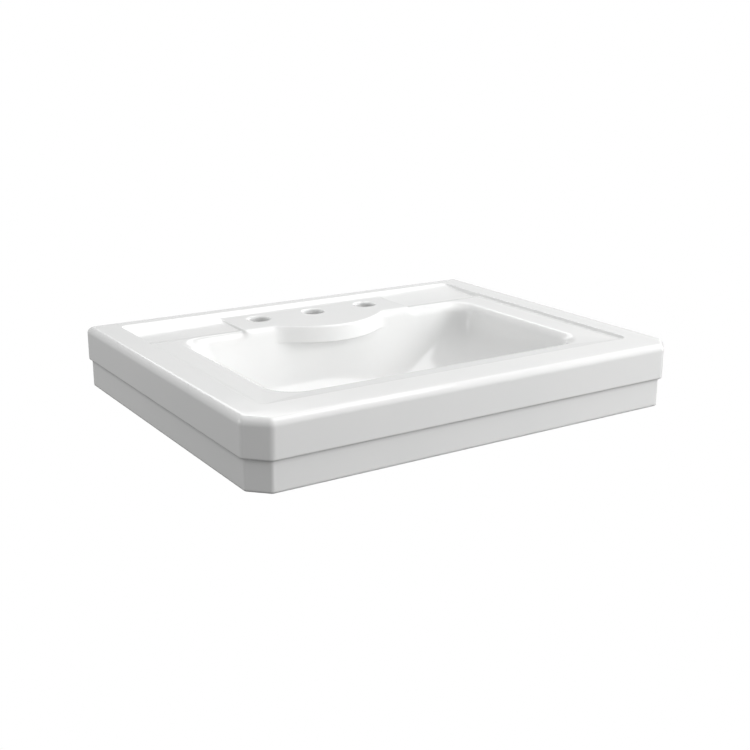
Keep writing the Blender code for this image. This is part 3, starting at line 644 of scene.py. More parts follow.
def hexagon(name, flats, bore, top, bottom, place=DRAIN_PLACE, edge=0.3 * MM):
    """A hexagon nut whose corners are turned off at both ends, with a bored hole."""
    bm = bmesh.new()
    corner = flats / math.sqrt(3)
    bmesh.ops.create_cone(
        bm, cap_ends=True, segments=6, radius1=corner, radius2=corner, depth=bottom - top,
        matrix=place @ Matrix.Translation((0, 0, -(top + bottom) / 2)),
    )
    nut = object_from(bm, name)
    chamfer = (corner - flats / 2) * 1.1
    fall = 0.5 * chamfer
    turning = turned(
        f"{name}_turning",
        [
            (0, top - MM), (flats / 2 + fall - 2 * MM, top - MM), (corner - chamfer, top),
            (corner + MM, top + fall + 0.5 * MM), (corner + MM, bottom - fall - 0.5 * MM),
            (corner - chamfer, bottom), (flats / 2 + fall - 2 * MM, bottom + MM),
            (0, bottom + MM),
        ],
        place=place,
    )
    combine(nut, [turning], "INTERSECT")
    lead = 0.8 * edge
    hole = turned(
        f"{name}_hole",
        [
            (0, top - MM), (bore + lead + MM, top - MM), (bore, top + lead),
            (bore, bottom - lead), (bore + lead + MM, bottom + MM), (0, bottom + MM),
        ],
        place=place,
    )
    return combine(nut, [hole], "DIFFERENCE")


def sweep(name, path, near, far, half_width, corner):
    """A rounded slab along a path in the Y-Z plane, between two distances from it."""
    bm = bmesh.new()
    sections = []
    quarter = np.linspace(0, math.pi / 2, 5)
    for index, point in enumerate(path):
        along = path[min(index + 1, len(path) - 1)] - path[max(index - 1, 0)]
        normal = np.array([-along[1], along[0]]) / np.hypot(*along)
        low, high = near[index], far[index]
        centres = ((1, high), (-1, high), (-1, low), (1, low))
        section = []
        for turn, (side, level) in enumerate(centres):
            inward = -1 if level == high else 1
            for angle in quarter + turn * math.pi / 2:
                across = side * (half_width - corner) + corner * math.cos(angle)
                depth = level + inward * corner + corner * math.sin(angle)
                place = point + normal * depth
                section.append(bm.verts.new((across, *place)))
        sections.append(section)
    for before, after in zip(sections, sections[1:]):
        for i in range(len(before)):
            j = (i + 1) % len(before)
            bm.faces.new((before[i], before[j], after[j], after[i]))
    bm.faces.new(sections[0])
    bm.faces.new(sections[-1])
    bmesh.ops.recalc_face_normals(bm, faces=bm.faces)
    return object_from(bm, name)


def block(name, low, high):
    bm = bmesh.new()
    low, high = Vector(low), Vector(high)
    size = Matrix.Diagonal((*(high - low), 1))
    bmesh.ops.create_cube(bm, size=1, matrix=Matrix.Translation((low + high) / 2) @ size)
    return object_from(bm, name)


# ---- the basin ------------------------------------------------------------------------


def overflow_path():
    """Down the bowl's back wall from inside the deck, then in under its floor."""
    top = 14 * MM
    points = [np.array([BOWL_BACK - BOWL_EDGE, RIM - top])]
    for share in np.linspace(0.02, 0.97, 24):
        back = BOWL_BACK - cubic(WALL_BACK, share)
        points.append(np.array([back, RIM - cubic(WALL_DROP, share)]))
    floor = RIM - WALL_DROP[-1] + 1 * MM
    for reach in (30 * MM, 18.5 * MM):
        points.append(np.array([DRAIN_Y + reach, floor]))
    return points


def graded(path, on_wall, under_floor):
    """Distances along the path that change over its last third."""
    shares = ease(0.55, 0.9, np.linspace(0, 1, len(path)))
    return mix(on_wall, under_floor, shares)


def make_basin(glaze):
    basin = loft(under_rows() + apron_rows() + top_rows(), "basin_china")
    path = overflow_path()
    spine = sweep(
        "spine", path, graded(path, 5 * MM, 5 * MM), graded(path, 26 * MM, 23 * MM), 32 * MM, 4 * MM
    )
    boss_top = FOOT_DROP - 18 * MM
    boss = turned(
        "boss",
        [
            (0, boss_top), (BOSS_RADIUS, boss_top), (BOSS_RADIUS, FOOT_DROP - 1.5 * MM),
            (BOSS_RADIUS - 1.5 * MM, FOOT_DROP), (0, FOOT_DROP),
        ],
    )
    combine(basin, [spine, boss], "UNION")
    passage = sweep(
        "passage", path, graded(path, 9 * MM, 10 * MM), graded(path, 17 * MM, 18 * MM), 22 * MM, 3 * MM
    )
    low = (-50 * MM, BOW_FRONT + 11 * MM, RIM - 27 * MM)
    chamber = block("chamber", low, (50 * MM, BOWL_BACK - 4 * MM, RIM - 15 * MM))
    low = (-22 * MM, BOW_FRONT + 13 * MM, RIM - 55 * MM)
    slot = block("slot", low, (22 * MM, BOW_FRONT + 24 * MM, RIM - 26 * MM))
    combine(passage, [chamber, slot], "UNION")
    seat, seat_radius, hole = 140.5 * MM, 33.5 * MM, 22.5 * MM
    drain = turned(
        "drain_cutter",
        [
            (0, 130 * MM), (seat_radius, 130 * MM), (seat_radius, seat - 1.5 * MM),
            (seat_radius - 0.5 * MM, seat - 0.4 * MM), (seat_radius - 1.5 * MM, seat),
            (hole, seat), (hole, FOOT_DROP + 5 * MM), (0, FOOT_DROP + 5 * MM),
        ],
    )
    cutters = [passage, drain]
    for column in (-1, 0, 1):
        place = Matrix.Translation((column * TAP_SPACING, TAP_Y, RIM))
        flare = [
            (TAP_HOLE + TAP_LIP * (1 - math.sin(a)), PLATFORM_DROP + TAP_LIP * (1 - math.cos(a)))
            for a in np.linspace(math.radians(14), math.pi / 2, 9)
        ]
        above = flare[0][0] + 6 * MM
        profile = [(0, PLATFORM_DROP - 1.3 * MM), (above, PLATFORM_DROP - 1.3 * MM), *flare]
        profile += [(TAP_HOLE, DECK_UNDER + 5 * MM), (0, DECK_UNDER + 5 * MM)]
        cutters.append(turned(f"tap_hole_{column + 2}", profile, place=place))
    for side in (-1, 1):
        place = Matrix.Translation((side * FIXING_X, 0, 0)) @ Matrix.Rotation(-math.pi / 2, 4, "X")
        profile = [(0, -5 * MM), (FIXING_HOLE, -5 * MM), (FIXING_HOLE, 2 * WALL), (0, 2 * WALL)]
        cutters.append(turned(f"anchor_hole_{side + 2}", profile, 48, place))
    combine(basin, cutters, "DIFFERENCE")
    return piece(basin, "root", "china", glaze, "basin", sharp=40)


# ---- materials ------------------------------------------------------------------------


class Finish:
    """A material's node tree, built up a node at a time round its Principled shader."""

    def __init__(self, name, colour, roughness, metallic=0.0, **settings):
        self.material = bpy.data.materials.new(name)
        self.material.use_nodes = True
        self.tree = self.material.node_tree
        self.shader = self.tree.nodes["Principled BSDF"]
        self.set("Base Color", (*colour, 1.0))
        self.set("Roughness", roughness)
        self.set("Metallic", metallic)
        for socket, value in settings.items():
            self.set(socket.replace("_", " "), value)
        self.coordinates = self.node("ShaderNodeTexCoord").outputs["Object"]

    def set(self, socket, value):
        self.shader.inputs[socket].default_value = value

    def node(self, kind, **inputs):
        made = self.tree.nodes.new(kind)
        for socket, value in inputs.items():
            made.inputs[socket.replace("_", " ")].default_value = value
        return made

    def link(self, output, target):
        self.tree.links.new(output, target)

    def noise(self, scale, detail=3.0, stretch=(1, 1, 1)):
        mapping = self.node("ShaderNodeMapping", Scale=stretch)
        self.link(self.coordinates, mapping.inputs["Vector"])
        texture = self.node("ShaderNodeTexNoise", Scale=scale, Detail=detail)
        self.link(mapping.outputs["Vector"], texture.inputs["Vector"])
        return texture.outputs["Fac"]

    def spread(self, factor, low, high, start=0.3, end=0.7):
        """Maps a pattern to a range of values."""
        made = self.node("ShaderNodeMapRange")
        limits = ("From Min", start), ("From Max", end), ("To Min", low), ("To Max", high)
        for socket, value in limits:
            made.inputs[socket].default_value = value
        self.link(factor, made.inputs["Value"])
        return made.outputs["Result"]

    def tint(self, factor, first, second):
        made = self.tree.nodes.new("ShaderNodeMix")
        made.data_type = "RGBA"
        colours = [socket for socket in made.inputs if socket.type == "RGBA"]
        for socket, colour in zip(colours, (first, second)):
            if isinstance(colour, tuple):
                socket.default_value = (*colour, 1.0)
            else:
                self.link(colour, socket)
        self.link(factor, made.inputs[0])
        return next(socket for socket in made.outputs if socket.type == "RGBA")

    def bump(self, factor, distance, under=None):
        made = self.node("ShaderNodeBump", Strength=1.0, Distance=distance)
        self.link(factor, made.inputs["Height"])
        if under:
            self.link(under, made.inputs["Normal"])
        return made.outputs["Normal"]

    def wear(self, socket, output):
        self.link(output, self.shader.inputs[socket])


def glazed_china():
    """White glaze, softly uneven, and bare china on the wall face and under the foot."""
    made = Finish("white_glaze", (0.82, 0.82, 0.81), 0.07, IOR=1.52)
    split = made.node("ShaderNodeSeparateXYZ")
    made.link(made.coordinates, split.inputs["Vector"])
    on_wall = made.spread(split.outputs["Y"], 0.0, 1.0, -1.5 * MM, -0.5 * MM)
    foot_level = RIM - FOOT_DROP
    on_foot = made.spread(split.outputs["Z"], 1.0, 0.0, foot_level + 0.3 * MM, foot_level + 1.2 * MM)
    bare = made.node("ShaderNodeMath")
    bare.operation = "MAXIMUM"
    made.link(on_wall, bare.inputs[0])
    made.link(on_foot, bare.inputs[1])
    bare = bare.outputs["Value"]
    pooling = made.spread(made.noise(7.0, 2.0), 0.0, 1.0)
    glaze = made.tint(pooling, (0.83, 0.83, 0.825), (0.81, 0.815, 0.81))
    bisque = made.tint(made.noise(260.0, 4.0), (0.84, 0.82, 0.78), (0.72, 0.7, 0.66))
    made.wear("Base Color", made.tint(bare, glaze, bisque))
    gloss = made.spread(made.noise(24.0), 0.05, 0.09)
    dull = made.node("ShaderNodeMix")
    dull.inputs[3].default_value = 0.8
    made.link(bare, dull.inputs[0])
    made.link(gloss, dull.inputs[2])
    made.wear("Roughness", dull.outputs[0])
    flow = made.bump(made.noise(16.0, 2.0), 0.06 * MM)
    made.wear("Normal", made.bump(made.noise(190.0, 1.0), 0.004 * MM, flow))
    return made.material


def worn(name, colour, roughness, metallic, stain, tints, gloss, grain=None, cloudy=False):
    """A finish with a mottled colour, an uneven gloss and a fine grain.

    Stain holds a noise's arguments, gloss a noise's scale and the roughness it runs between,
    and grain a height and a noise's arguments. A cloudy stain is stronger.
    """
    made = Finish(name, colour, roughness, metallic)
    pattern = made.noise(*stain)
    if cloudy:
        pattern = made.spread(pattern, 0.0, 1.0)
    made.wear("Base Color", made.tint(pattern, *tints))
    scale, low, high = gloss
    made.wear("Roughness", made.spread(made.noise(scale), low, high))
    if grain:
        made.wear("Normal", made.bump(made.noise(*grain[1:]), grain[0]))
    return made.material


def polished_chrome():
    tints, grain = ((0.82, 0.83, 0.84), (0.74, 0.75, 0.77)), (0.002 * MM, 900.0, 1.0)
    colour, gloss = (0.80, 0.81, 0.82), (120.0, 0.05, 0.13)
    return worn("polished_chrome", colour, 0.08, 1.0, (60.0,), tints, gloss, grain)


def machined_brass():
    tints, gloss = ((0.80, 0.62, 0.31), (0.62, 0.45, 0.22)), (150.0, 0.24, 0.42)
    colour, rings = (0.78, 0.60, 0.30), (0.02 * MM, 40.0, 2.0, (0.4, 0.4, 60.0))
    return worn("machined_brass", colour, 0.3, 1.0, (70.0,), tints, gloss, rings, True)


def zinc_plate():
    tints, gloss = ((0.68, 0.69, 0.71), (0.50, 0.52, 0.55)), (200.0, 0.26, 0.5)
    colour, grain = (0.62, 0.63, 0.64), (0.006 * MM, 600.0)
    return worn("zinc_plate", colour, 0.35, 1.0, (110.0, 5.0), tints, gloss, grain, True)


def drawn_wire():
    tints, gloss = ((0.54, 0.55, 0.57), (0.42, 0.43, 0.45)), (400.0, 0.18, 0.36)
    return worn("drawn_wire", (0.50, 0.51, 0.53), 0.25, 1.0, (300.0,), tints, gloss)


def moulded_rubber(name, light, dark):
    gloss, grain = (300.0, 0.6, 0.85), (0.015 * MM, 1100.0, 2.0)
    return worn(name, light, 0.7, 0.0, (90.0, 4.0), (light, dark), gloss, grain, True)


def moulded_acetal():
    tints, gloss = ((0.84, 0.84, 0.82), (0.76, 0.76, 0.73)), (260.0, 0.34, 0.5)
    colour, grain = (0.82, 0.82, 0.80), (0.005 * MM, 700.0, 2.0)
    return worn("moulded_acetal", colour, 0.42, 0.0, (80.0,), tints, gloss, grain)


# ---- threads and the spring, each a wire wound round an axis ---------------------------


def winding_tree():
    """Geometry nodes: a section swept along a helix."""
    tree = bpy.data.node_groups.new("winding", "GeometryNodeTree")
    tree.interface.new_socket("Geometry", in_out="OUTPUT", socket_type="NodeSocketGeometry")
    for name, kind in (
        ("Turns", "Float"), ("Radius", "Float"), ("Length", "Float"), ("Sides", "Int"),
        ("Section", "Vector"), ("Start", "Vector"), ("Turn", "Vector"), ("Material", "Material"),
    ):
        tree.interface.new_socket(name, in_out="INPUT", socket_type=f"NodeSocket{kind}")
    nodes, links = tree.nodes, tree.links
    inputs = nodes.new("NodeGroupInput").outputs
    helix = nodes.new("GeometryNodeCurveSpiral")
    helix.inputs["Resolution"].default_value = 48
    for socket, source in (
        ("Rotations", "Turns"), ("Start Radius", "Radius"), ("End Radius", "Radius"),
        ("Height", "Length"),
    ):
        links.new(inputs[source], helix.inputs[socket])
    upright = nodes.new("GeometryNodeSetCurveNormal")
    upright.mode = "Z_UP"
    links.new(helix.outputs["Curve"], upright.inputs["Curve"])
    ring = nodes.new("GeometryNodeCurvePrimitiveCircle")
    ring.inputs["Radius"].default_value = 1.0
    links.new(inputs["Sides"], ring.inputs["Resolution"])
    section = nodes.new("GeometryNodeTransform")
    links.new(ring.outputs["Curve"], section.inputs["Geometry"])
    links.new(inputs["Section"], section.inputs["Scale"])
    swept = nodes.new("GeometryNodeCurveToMesh")
    swept.inputs["Fill Caps"].default_value = True
    links.new(upright.outputs["Curve"], swept.inputs["Curve"])
    links.new(section.outputs["Geometry"], swept.inputs["Profile Curve"])
    placed = nodes.new("GeometryNodeTransform")
    links.new(swept.outputs["Mesh"], placed.inputs["Geometry"])
    links.new(inputs["Start"], placed.inputs["Translation"])
    links.new(inputs["Turn"], placed.inputs["Rotation"])
    real = nodes.new("GeometryNodeRealizeInstances")
    links.new(placed.outputs["Geometry"], real.inputs["Geometry"])
    finish = nodes.new("GeometryNodeSetMaterial")
    links.new(real.outputs["Geometry"], finish.inputs["Geometry"])
    links.new(inputs["Material"], finish.inputs["Material"])
    links.new(finish.outputs["Geometry"], nodes.new("NodeGroupOutput").inputs["Geometry"])
    return tree


def wound(tree, name, material, turns, radius, length, sides, section, start, turn=(0, 0, 0)):
    """A helix of the given section that climbs from its start point."""
    obj = bpy.data.objects.new(name, bpy.data.meshes.new(name))
    bpy.context.scene.collection.objects.link(obj)
    modifier = obj.modifiers.new("winding", "NODES")
    modifier.node_group = tree
    values = {
        "Turns": float(turns), "Radius": radius, "Length": length, "Sides": sides,
        "Section": (*section, 1.0), "Start": tuple(start), "Turn": tuple(turn),
        "Material": material,
    }
    for item in tree.interface.items_tree:
        if item.in_out == "INPUT":
            modifier[item.identifier] = values[item.name]
    return baked(obj)


def add_thread(tree, name, body, slot, finish, pitch, core, height, length, start, turn, half=None):
    """A ridge wound round a core, as a piece of its own. Half is half the ridge's width."""
    section = (height * 0.98, half or pitch * 0.44)
    ridge = wound(tree, name, finish, length / pitch, core, length, 4, section, start, turn)
    piece(ridge, body, slot, finish, sharp=30)


# ---- the drain and the wall fixings ---------------------------------------------------


def ring_of(node):
    """(outer radius, top drop, bottom drop) of a turned node round the drain's axis."""
    low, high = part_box(node)
    return (high.x - low.x) / 2, RIM - high.z, RIM - low.z


def make_drain(chrome, brass, acetal, black, grey, winding):
    flange, flange_top, tube_end = ring_of("drain_body")
    thread, bore, mouth = 20.9 * MM, 17.5 * MM, 19 * MM
    pitch = 2.309 * MM  # 11 threads to the inch
    groove = 0.62 * pitch
    flange_low = flange_top + 2.6 * MM
    dish = [
        (mix(mouth + 0.6 * MM, flange - 1.6 * MM, share), flange_top + 0.5 * MM * share**2)
        for share in np.linspace(0, 1, 7)
    ]
    edge = [
        (flange - 1.6 * MM * (1 - math.sin(a)), flange_top + 0.5 * MM + 1.6 * MM * (1 - math.cos(a)))
        for a in np.linspace(0, math.pi / 2, 7)
    ][1:]
    throat = [
        (mouth + 0.6 * MM * (1 - math.sin(a)), flange_top + 0.6 * MM * (1 - math.cos(a)))
        for a in np.linspace(math.pi / 2, 0, 5)
    ][:-1]
    body = turned(
        "drain_tube",
        [
            *dish, *edge, (flange, flange_low), (thread, flange_low),
            (thread, flange_low + 2 * MM), (thread - groove, flange_low + 3 * MM),
            (thread - groove, tube_end - 0.8 * MM), (thread - groove - 0.6 * MM, tube_end),
            (bore, tube_end), (bore, flange_low + 2 * MM), (mouth, flange_top + 1.4 * MM),
            *throat,
        ],
    )
    hub = turned("hub", washer_profile(8.3 * MM, 11 * MM, HUB_TOP, HUB_BOTTOM), edge=0.5 * MM)
    spokes = []
    for index in range(3):
        spoke = block(
            f"spoke_{index}", (9.5 * MM, -1.6 * MM, -SPOKE_BOTTOM),
            (bore + 0.8 * MM, 1.6 * MM, -SPOKE_TOP),
        )
        turn = Matrix.Rotation(math.pi / 2 + index * 2 * math.pi / 3, 4, "Z")
        spoke.data.transform(DRAIN_PLACE @ turn)
        spokes.append(spoke)
    combine(body, [hub, *spokes], "UNION")
    window = block("window", (-6.5 * MM, -25 * MM, -WINDOW_BOTTOM), (6.5 * MM, 25 * MM, -WINDOW_TOP))
    window.data.transform(DRAIN_PLACE)
    combine(body, [window], "DIFFERENCE")
    piece(body, "root", "chrome", chrome, "drain_body")

    start, end = THREAD_TOP, tube_end - 1.6 * MM
    add_thread(
        winding, "drain_thread", "root", "chrome", chrome, pitch, thread - groove, groove,
        end - start, (0, DRAIN_Y, RIM - end), (0, 0, 0),
    )

    loose = thread + 0.4 * MM
    outer, top, bottom = ring_of("flange_gasket")
    gasket = turned("flange_gasket_ring", washer_profile(loose, outer, top, bottom), edge=0.3 * MM)
    piece(gasket, "root", "grey_rubber", grey, "flange_gasket")

    outer, top, bottom = ring_of("spigot_gasket")
    skirt = FOOT_DROP + 0.3 * MM
    ribs = []
    for level in np.linspace(skirt + 3 * MM, bottom - 3 * MM, 3):
        crest = outer - 0.1 * MM
        ribs += [(crest, level - 0.9 * MM), (outer - 0.6 * MM, level), (crest, level + 0.9 * MM)]
    spigot = turned(
        "spigot_gasket_ring",
        [
            (21.6 * MM, top), (22.1 * MM, top + 2 * MM), (22.1 * MM, skirt),
            (outer - 3 * MM, skirt), (outer, skirt + 2 * MM), *ribs, (outer, bottom - 1 * MM),
            (outer - 1 * MM, bottom), (loose, bottom), (loose, top),
        ],
        edge=0.25 * MM,
    )
    piece(spigot, "root", "black_rubber", black, "spigot_gasket")

    outer, top, bottom = ring_of("friction_washer")
    washer = turned("friction_washer_ring", washer_profile(loose, outer, top, bottom), edge=0.4 * MM)
    piece(washer, "root", "white_acetal", acetal, "friction_washer")

    _, top, bottom = ring_of("lock_nut")
    nut = hexagon("lock_nut_hex", 54 * MM, loose, top, bottom, edge=1 * MM)
    piece(nut, "root", "brass", brass, "lock_nut")


def make_cartridge(brass, acetal, wire, winding):
    """The sleeve and plug that stay still, and the spring between them and the rotor."""
    _, top, bottom = ring_of("cartridge_sleeve")
    collar, radius, inside, stem = 161.7 * MM, 8 * MM, 6.2 * MM, 3.9 * MM
    profile = [
        (stem, top), (radius - 1 * MM, top), (radius, top + 1 * MM), (radius, collar - 2 * MM),
        (10.5 * MM, collar - 2 * MM), (10.5 * MM, collar), (radius, collar),
    ]
    groove_levels = np.linspace(collar + 9.5 * MM, bottom - 5 * MM, 8)
    for level in groove_levels:
        profile += [(radius, level - 0.7 * MM), (radius - 0.5 * MM, level), (radius, level + 0.7 * MM)]
    profile += [(radius, bottom), (inside, bottom), (inside, top + 2 * MM), (stem, top + 2 * MM)]
    sleeve = turned("cartridge_sleeve_shell", profile, 72, edge=0.2 * MM)
    piece(sleeve, "root", "white_acetal", acetal, "cartridge_sleeve")

    radius, top, bottom = ring_of("cartridge_plug")
    neck = bottom - 2.7 * MM
    plug = turned(
        "cartridge_plug_cap",
        [(0, top), (5.9 * MM, top), (5.9 * MM, neck), (radius, neck), (radius, bottom), (0, bottom)],
        72, edge=0.3 * MM,
    )
    low = (-9 * MM, -0.6 * MM, -bottom - MM)
    screw_slot = block("screw_slot", low, (9 * MM, 0.6 * MM, -bottom + 1 * MM))
    screw_slot.data.transform(DRAIN_PLACE)
    combine(plug, [screw_slot], "DIFFERENCE")
    piece(plug, "root", "brass", brass, "cartridge_plug")

    radius, top, bottom = ring_of("return_spring")
    thick = 0.45 * MM
    spring = wound(
        winding, "return_spring_coil", wire, 7, radius - thick, bottom - top - 2 * thick, 10,
        (thick, thick), (0, DRAIN_Y, RIM - bottom + thick),
    )
    piece(spring, "root", "spring_steel", wire, "return_spring", sharp=60)
    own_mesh(spring)


def make_stopper(chrome, brass, acetal, black, winding):
    """What slides: cap, seal, nut and stem, and the rotor that turns under the stem."""
    radius, top, nut_side = ring_of("stopper_cap")
    rim = nut_side - 6.5 * MM
    dome, lip = 3.6 * MM, 2.2 * MM
    crown = [
        (radius * 0.965 * share, top + dome * (1 - math.sqrt(1 - (0.93 * share) ** 2)) / 0.632 * 0.9)
        for share in np.linspace(0, 1, 20)
    ]
    last_radius, last_drop = crown[-1]
    turn_over = [
        (mix(last_radius, radius, math.sin(a)), mix(last_drop, rim - 0.9 * MM, 1 - math.cos(a)))
        for a in np.linspace(0, math.pi / 2, 7)
    ][1:]
    recess_drop = 1 * MM
    cap = turned(
        "stopper_cap_dome",
        [
            *crown, *turn_over, (radius - 0.5 * MM, rim), (24.3 * MM, rim),
            (24.3 * MM, rim - recess_drop), (19.5 * MM, rim - recess_drop), (19.5 * MM, rim),
            (6 * MM, rim), (6 * MM, nut_side), (3.8 * MM, nut_side), (3.8 * MM, rim + 0.9 * MM),
            (0, rim + 0.9 * MM),
        ],
        128, edge=0.15 * MM,
    )
    piece(cap, "stopper", "chrome", chrome, "stopper_cap", sharp=30)

    radius, top, bottom = ring_of("stopper_seal")
    seal = turned(
        "stopper_seal_ring", washer_profile(19.8 * MM, radius, top, bottom), 128, edge=0.45 * MM
    )
    piece(seal, "stopper", "black_rubber", black, "stopper_seal")

    _, top, bottom = ring_of("cap_lock_nut")
    nut = hexagon("cap_lock_nut_hex", 11 * MM, 3.8 * MM, top, bottom, edge=0.4 * MM)
    piece(nut, "stopper", "brass", brass, "cap_lock_nut")

    head_radius, top, bottom = ring_of("plunger_stem")
    stem, pin, pitch = 3.5 * MM, 2.4 * MM, 1 * MM
    head = 152.3 * MM
    groove = 0.5 * pitch
    thread_end = top + 14 * MM
    profile = [
        (0, top), (stem - groove - 0.3 * MM, top), (stem - groove, top + 0.5 * MM),
        (stem - groove, thread_end), (stem, thread_end + 1 * MM), (stem, head),
        (head_radius, head), (head_radius, head + 6 * MM), (pin, head + 6 * MM),
        (pin, bottom - 0.8 * MM), (pin - 0.8 * MM, bottom), (0, bottom),
    ]
    rod = turned("plunger_stem_rod", profile, 64, edge=0.2 * MM)
    piece(rod, "stopper", "brass", brass, "plunger_stem")
    start, end = top + 1 * MM, thread_end - 0.3 * MM
    add_thread(
        winding, "plunger_thread", "stopper", "brass", brass, pitch, stem - groove, groove,
        end - start, (0, DRAIN_Y, RIM - end), (0, 0, 0),
    )

    radius, top, bottom = ring_of("cam_rotor")
    rotor = turned(
        "cam_rotor_crown", washer_profile(2.8 * MM, radius, top, bottom), 72, edge=0.4 * MM
    )
    notches = []
    for index in range(4):
        angle = index * math.pi / 2
        x, y = (radius + 0.6 * MM) * math.cos(angle), (radius + 0.6 * MM) * math.sin(angle)
        place = DRAIN_PLACE @ Matrix.Translation((x, y, 0))
        start, end, notch = bottom - 3 * MM, bottom + MM, 1.4 * MM
        profile = [(0, start), (notch, start), (notch, end), (0, end)]
        notches.append(turned(f"notch_{index}", profile, 24, place))
    combine(rotor, notches, "DIFFERENCE")
    piece(rotor, "cam", "white_acetal", acetal, "cam_rotor")


def make_fixing(side, zinc, black, winding):
    """Hanger bolt, rubber ring, washer and nut at one fixing hole."""
    low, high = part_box(f"wall_bolt_{side}")
    x, radius = (low.x + high.x) / 2, (high.x - low.x) / 2
    in_wall, inside = high.y, -low.y
    place = Matrix.Translation((x, 0, 0)) @ Matrix.Rotation(-math.pi / 2, 4, "X")
    pitch, wood_pitch = 1.5 * MM, 3.2 * MM
    groove, wood_groove = 0.55 * pitch, 1.3 * MM
    plain = 4 * MM
    bolt = turned(
        f"wall_bolt_{side}_shank",
        [
            (0, -in_wall), (0.3 * MM, 0.4 * MM - in_wall),
            (radius - wood_groove, 9 * MM - in_wall), (radius - wood_groove, -plain - 3 * MM),
            (radius, -plain), (radius, plain), (radius - groove, plain + 1 * MM),
            (radius - groove, inside - 0.8 * MM), (radius - groove - 0.7 * MM, inside),
            (0, inside),
        ],
        48, place,
    )
    piece(bolt, "root", "zinc_steel", zinc, f"wall_bolt_{side}")
    quarter = (math.pi / 2, 0, 0)
    length = inside - plain - 2.5 * MM
    add_thread(
        winding, f"wall_bolt_{side}_machine_thread", "root", "zinc_steel", zinc, pitch,
        radius - groove, groove, length, (x, -plain - 1 * MM, 0), quarter,
    )
    length = in_wall - 9 * MM - plain - 3 * MM
    add_thread(
        winding, f"wall_bolt_{side}_wood_thread", "root", "zinc_steel", zinc, wood_pitch,
        radius - wood_groove, wood_groove, length, (x, in_wall - 9 * MM, 0), quarter, 0.55 * MM,
    )

    bore = radius + 0.34 * MM
    for node, finish, slot, edge in (
        ("wall_gasket", black, "black_rubber", 0.6 * MM),
        ("wall_washer", zinc, "zinc_steel", 0.25 * MM),
    ):
        low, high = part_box(f"{node}_{side}")
        profile = washer_profile(bore, (high.x - low.x) / 2, -high.y, -low.y)
        ring = turned(f"{node}_{side}_ring", profile, 72, place, edge)
        piece(ring, "root", slot, finish, f"{node}_{side}")
    low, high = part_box(f"wall_nut_{side}")
    nut = hexagon(f"wall_nut_{side}_hex", 14.3 * MM, bore, -high.y, -low.y, place, 0.6 * MM)
    piece(nut, "root", "zinc_steel", zinc, f"wall_nut_{side}")


# ---- stage, lights and camera ---------------------------------------------------------


def glow(name, strength):
    material = bpy.data.materials.new(name)
    material.use_nodes = True
    nodes = material.node_tree.nodes
    nodes.remove(nodes["Principled BSDF"])
    emission = nodes.new("ShaderNodeEmission")
    emission.inputs["Color"].default_value = (1, 1, 1, 1)
    emission.inputs["Strength"].default_value = strength
    material.node_tree.links.new(emission.outputs[0], nodes["Material Output"].inputs["Surface"])
    return material


def make_stage():
    """A bright floor and backdrop that only the camera sees, so they don't light the china."""
    floor_level, radius, height = -2.6, 9.0, 18.0
    bm = bmesh.new()
    bmesh.ops.create_circle(bm, cap_ends=True, segments=96, radius=radius)
    bmesh.ops.translate(bm, verts=bm.verts, vec=(0, 0, floor_level))
    floor = object_from(bm, "floor")
    bm = bmesh.new()
    bmesh.ops.create_cone(
        bm, cap_ends=False, segments=96, radius1=radius, radius2=radius, depth=height
    )
    bmesh.ops.translate(bm, verts=bm.verts, vec=(0, 0, floor_level + height / 2))
    backdrop = object_from(bm, "backdrop")
    white = glow("studio_white", 1.0)
    for obj in (floor, backdrop):
        obj.data.materials.append(white)
        obj.visible_diffuse = False
        obj.visible_glossy = False
        obj.visible_shadow = False


def area_light(name, place, target, size, power):
    light = bpy.data.lights.new(name, "AREA")
    light.shape = "RECTANGLE"
    light.size, light.size_y = size
    light.energy = power
    obj = bpy.data.objects.new(name, light)
    obj.location = place
    direction = Vector(target) - Vector(place)
    obj.rotation_euler = direction.to_track_quat("-Z", "Y").to_euler()
    bpy.context.scene.collection.objects.link(obj)
    return obj


def make_world():
    """Soft light from above the horizon, and little from below it."""
    world = bpy.data.worlds.new("studio")
    world.use_nodes = True
    nodes, links = world.node_tree.nodes, world.node_tree.links
    split = nodes.new("ShaderNodeSeparateXYZ")
    links.new(nodes.new("ShaderNodeTexCoord").outputs["Generated"], split.inputs["Vector"])
    fade = nodes.new("ShaderNodeMapRange")
    fade.interpolation_type = "SMOOTHSTEP"
    for socket, value in (("From Min", -0.45), ("From Max", 0.0), ("To Min", 0.05), ("To Max", 0.55)):
        fade.inputs[socket].default_value = value
    links.new(split.outputs["Z"], fade.inputs["Value"])
    links.new(fade.outputs["Result"], nodes["Background"].inputs["Strength"])
    nodes["Background"].inputs["Color"].default_value = (1, 1, 1, 1)
    bpy.context.scene.world = world


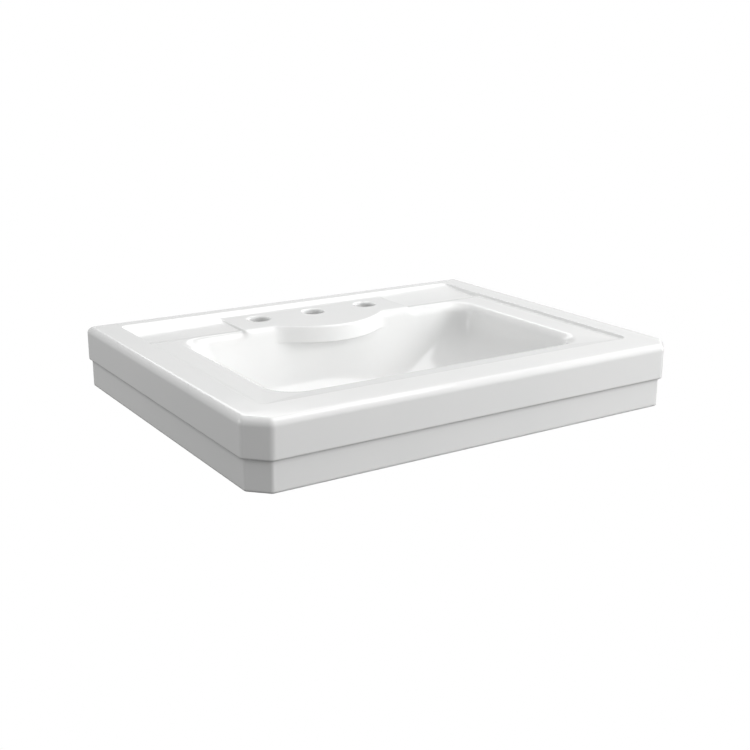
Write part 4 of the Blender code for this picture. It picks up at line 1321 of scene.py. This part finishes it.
def make_lights():
    make_world()
    middle = (0, -0.28, 0.0)
    area_light("top_box", (1.0, -0.3, 2.2), middle, (2.2, 0.8), 18)
    area_light("back_box", (1.45, 2.2, 1.5), middle, (3.0, 0.7), 9)
    area_light("right_box", (2.2, -0.6, 0.7), middle, (1.4, 1.4), 10)
    area_light("left_box", (-2.2, 1.0, 0.8), middle, (1.4, 1.4), 13)
    front = area_light("front_box", (2.1, -2.4, 0.95), middle, (3.0, 1.4), 69)
    front.visible_glossy = False


def make_camera():
    """Looks down at the basin from the left of its front."""
    turn, tilt, roll = math.radians(-33.334), math.radians(16.472), math.radians(0.439)
    back = Vector((math.sin(turn) * math.cos(tilt), -math.cos(turn) * math.cos(tilt), math.sin(tilt)))
    level = Vector((0, 0, 1)).cross(back).normalized()
    rise = back.cross(level)
    right = level * math.cos(roll) + rise * math.sin(roll)
    up = rise * math.cos(roll) - level * math.sin(roll)
    camera = bpy.data.cameras.new("camera")
    camera.sensor_width = 36.0
    camera.lens = 54.884
    camera.clip_end = 50
    obj = bpy.data.objects.new("camera", camera)
    obj.matrix_world = Matrix.Translation((-0.9354, -1.6986, 0.4919)) @ (
        Matrix((right, up, back)).transposed().to_4x4()
    )
    bpy.context.scene.collection.objects.link(obj)
    bpy.context.scene.camera = obj
    bpy.context.scene.view_settings.view_transform = "Standard"


# ---- everything -----------------------------------------------------------------------


def main():
    glaze = glazed_china()
    chrome, brass, zinc = polished_chrome(), machined_brass(), zinc_plate()
    wire, acetal = drawn_wire(), moulded_acetal()
    black = moulded_rubber("black_rubber_skin", (0.035, 0.035, 0.035), (0.02, 0.02, 0.02))
    grey = moulded_rubber("grey_rubber_skin", (0.27, 0.27, 0.28), (0.2, 0.2, 0.21))
    winding = winding_tree()
    make_basin(glaze)
    make_drain(chrome, brass, acetal, black, grey, winding)
    make_cartridge(brass, acetal, wire, winding)
    make_stopper(chrome, brass, acetal, black, winding)
    for side in ("left", "right"):
        make_fixing(side, zinc, black, winding)
    make_stage()
    make_lights()
    make_camera()


main()
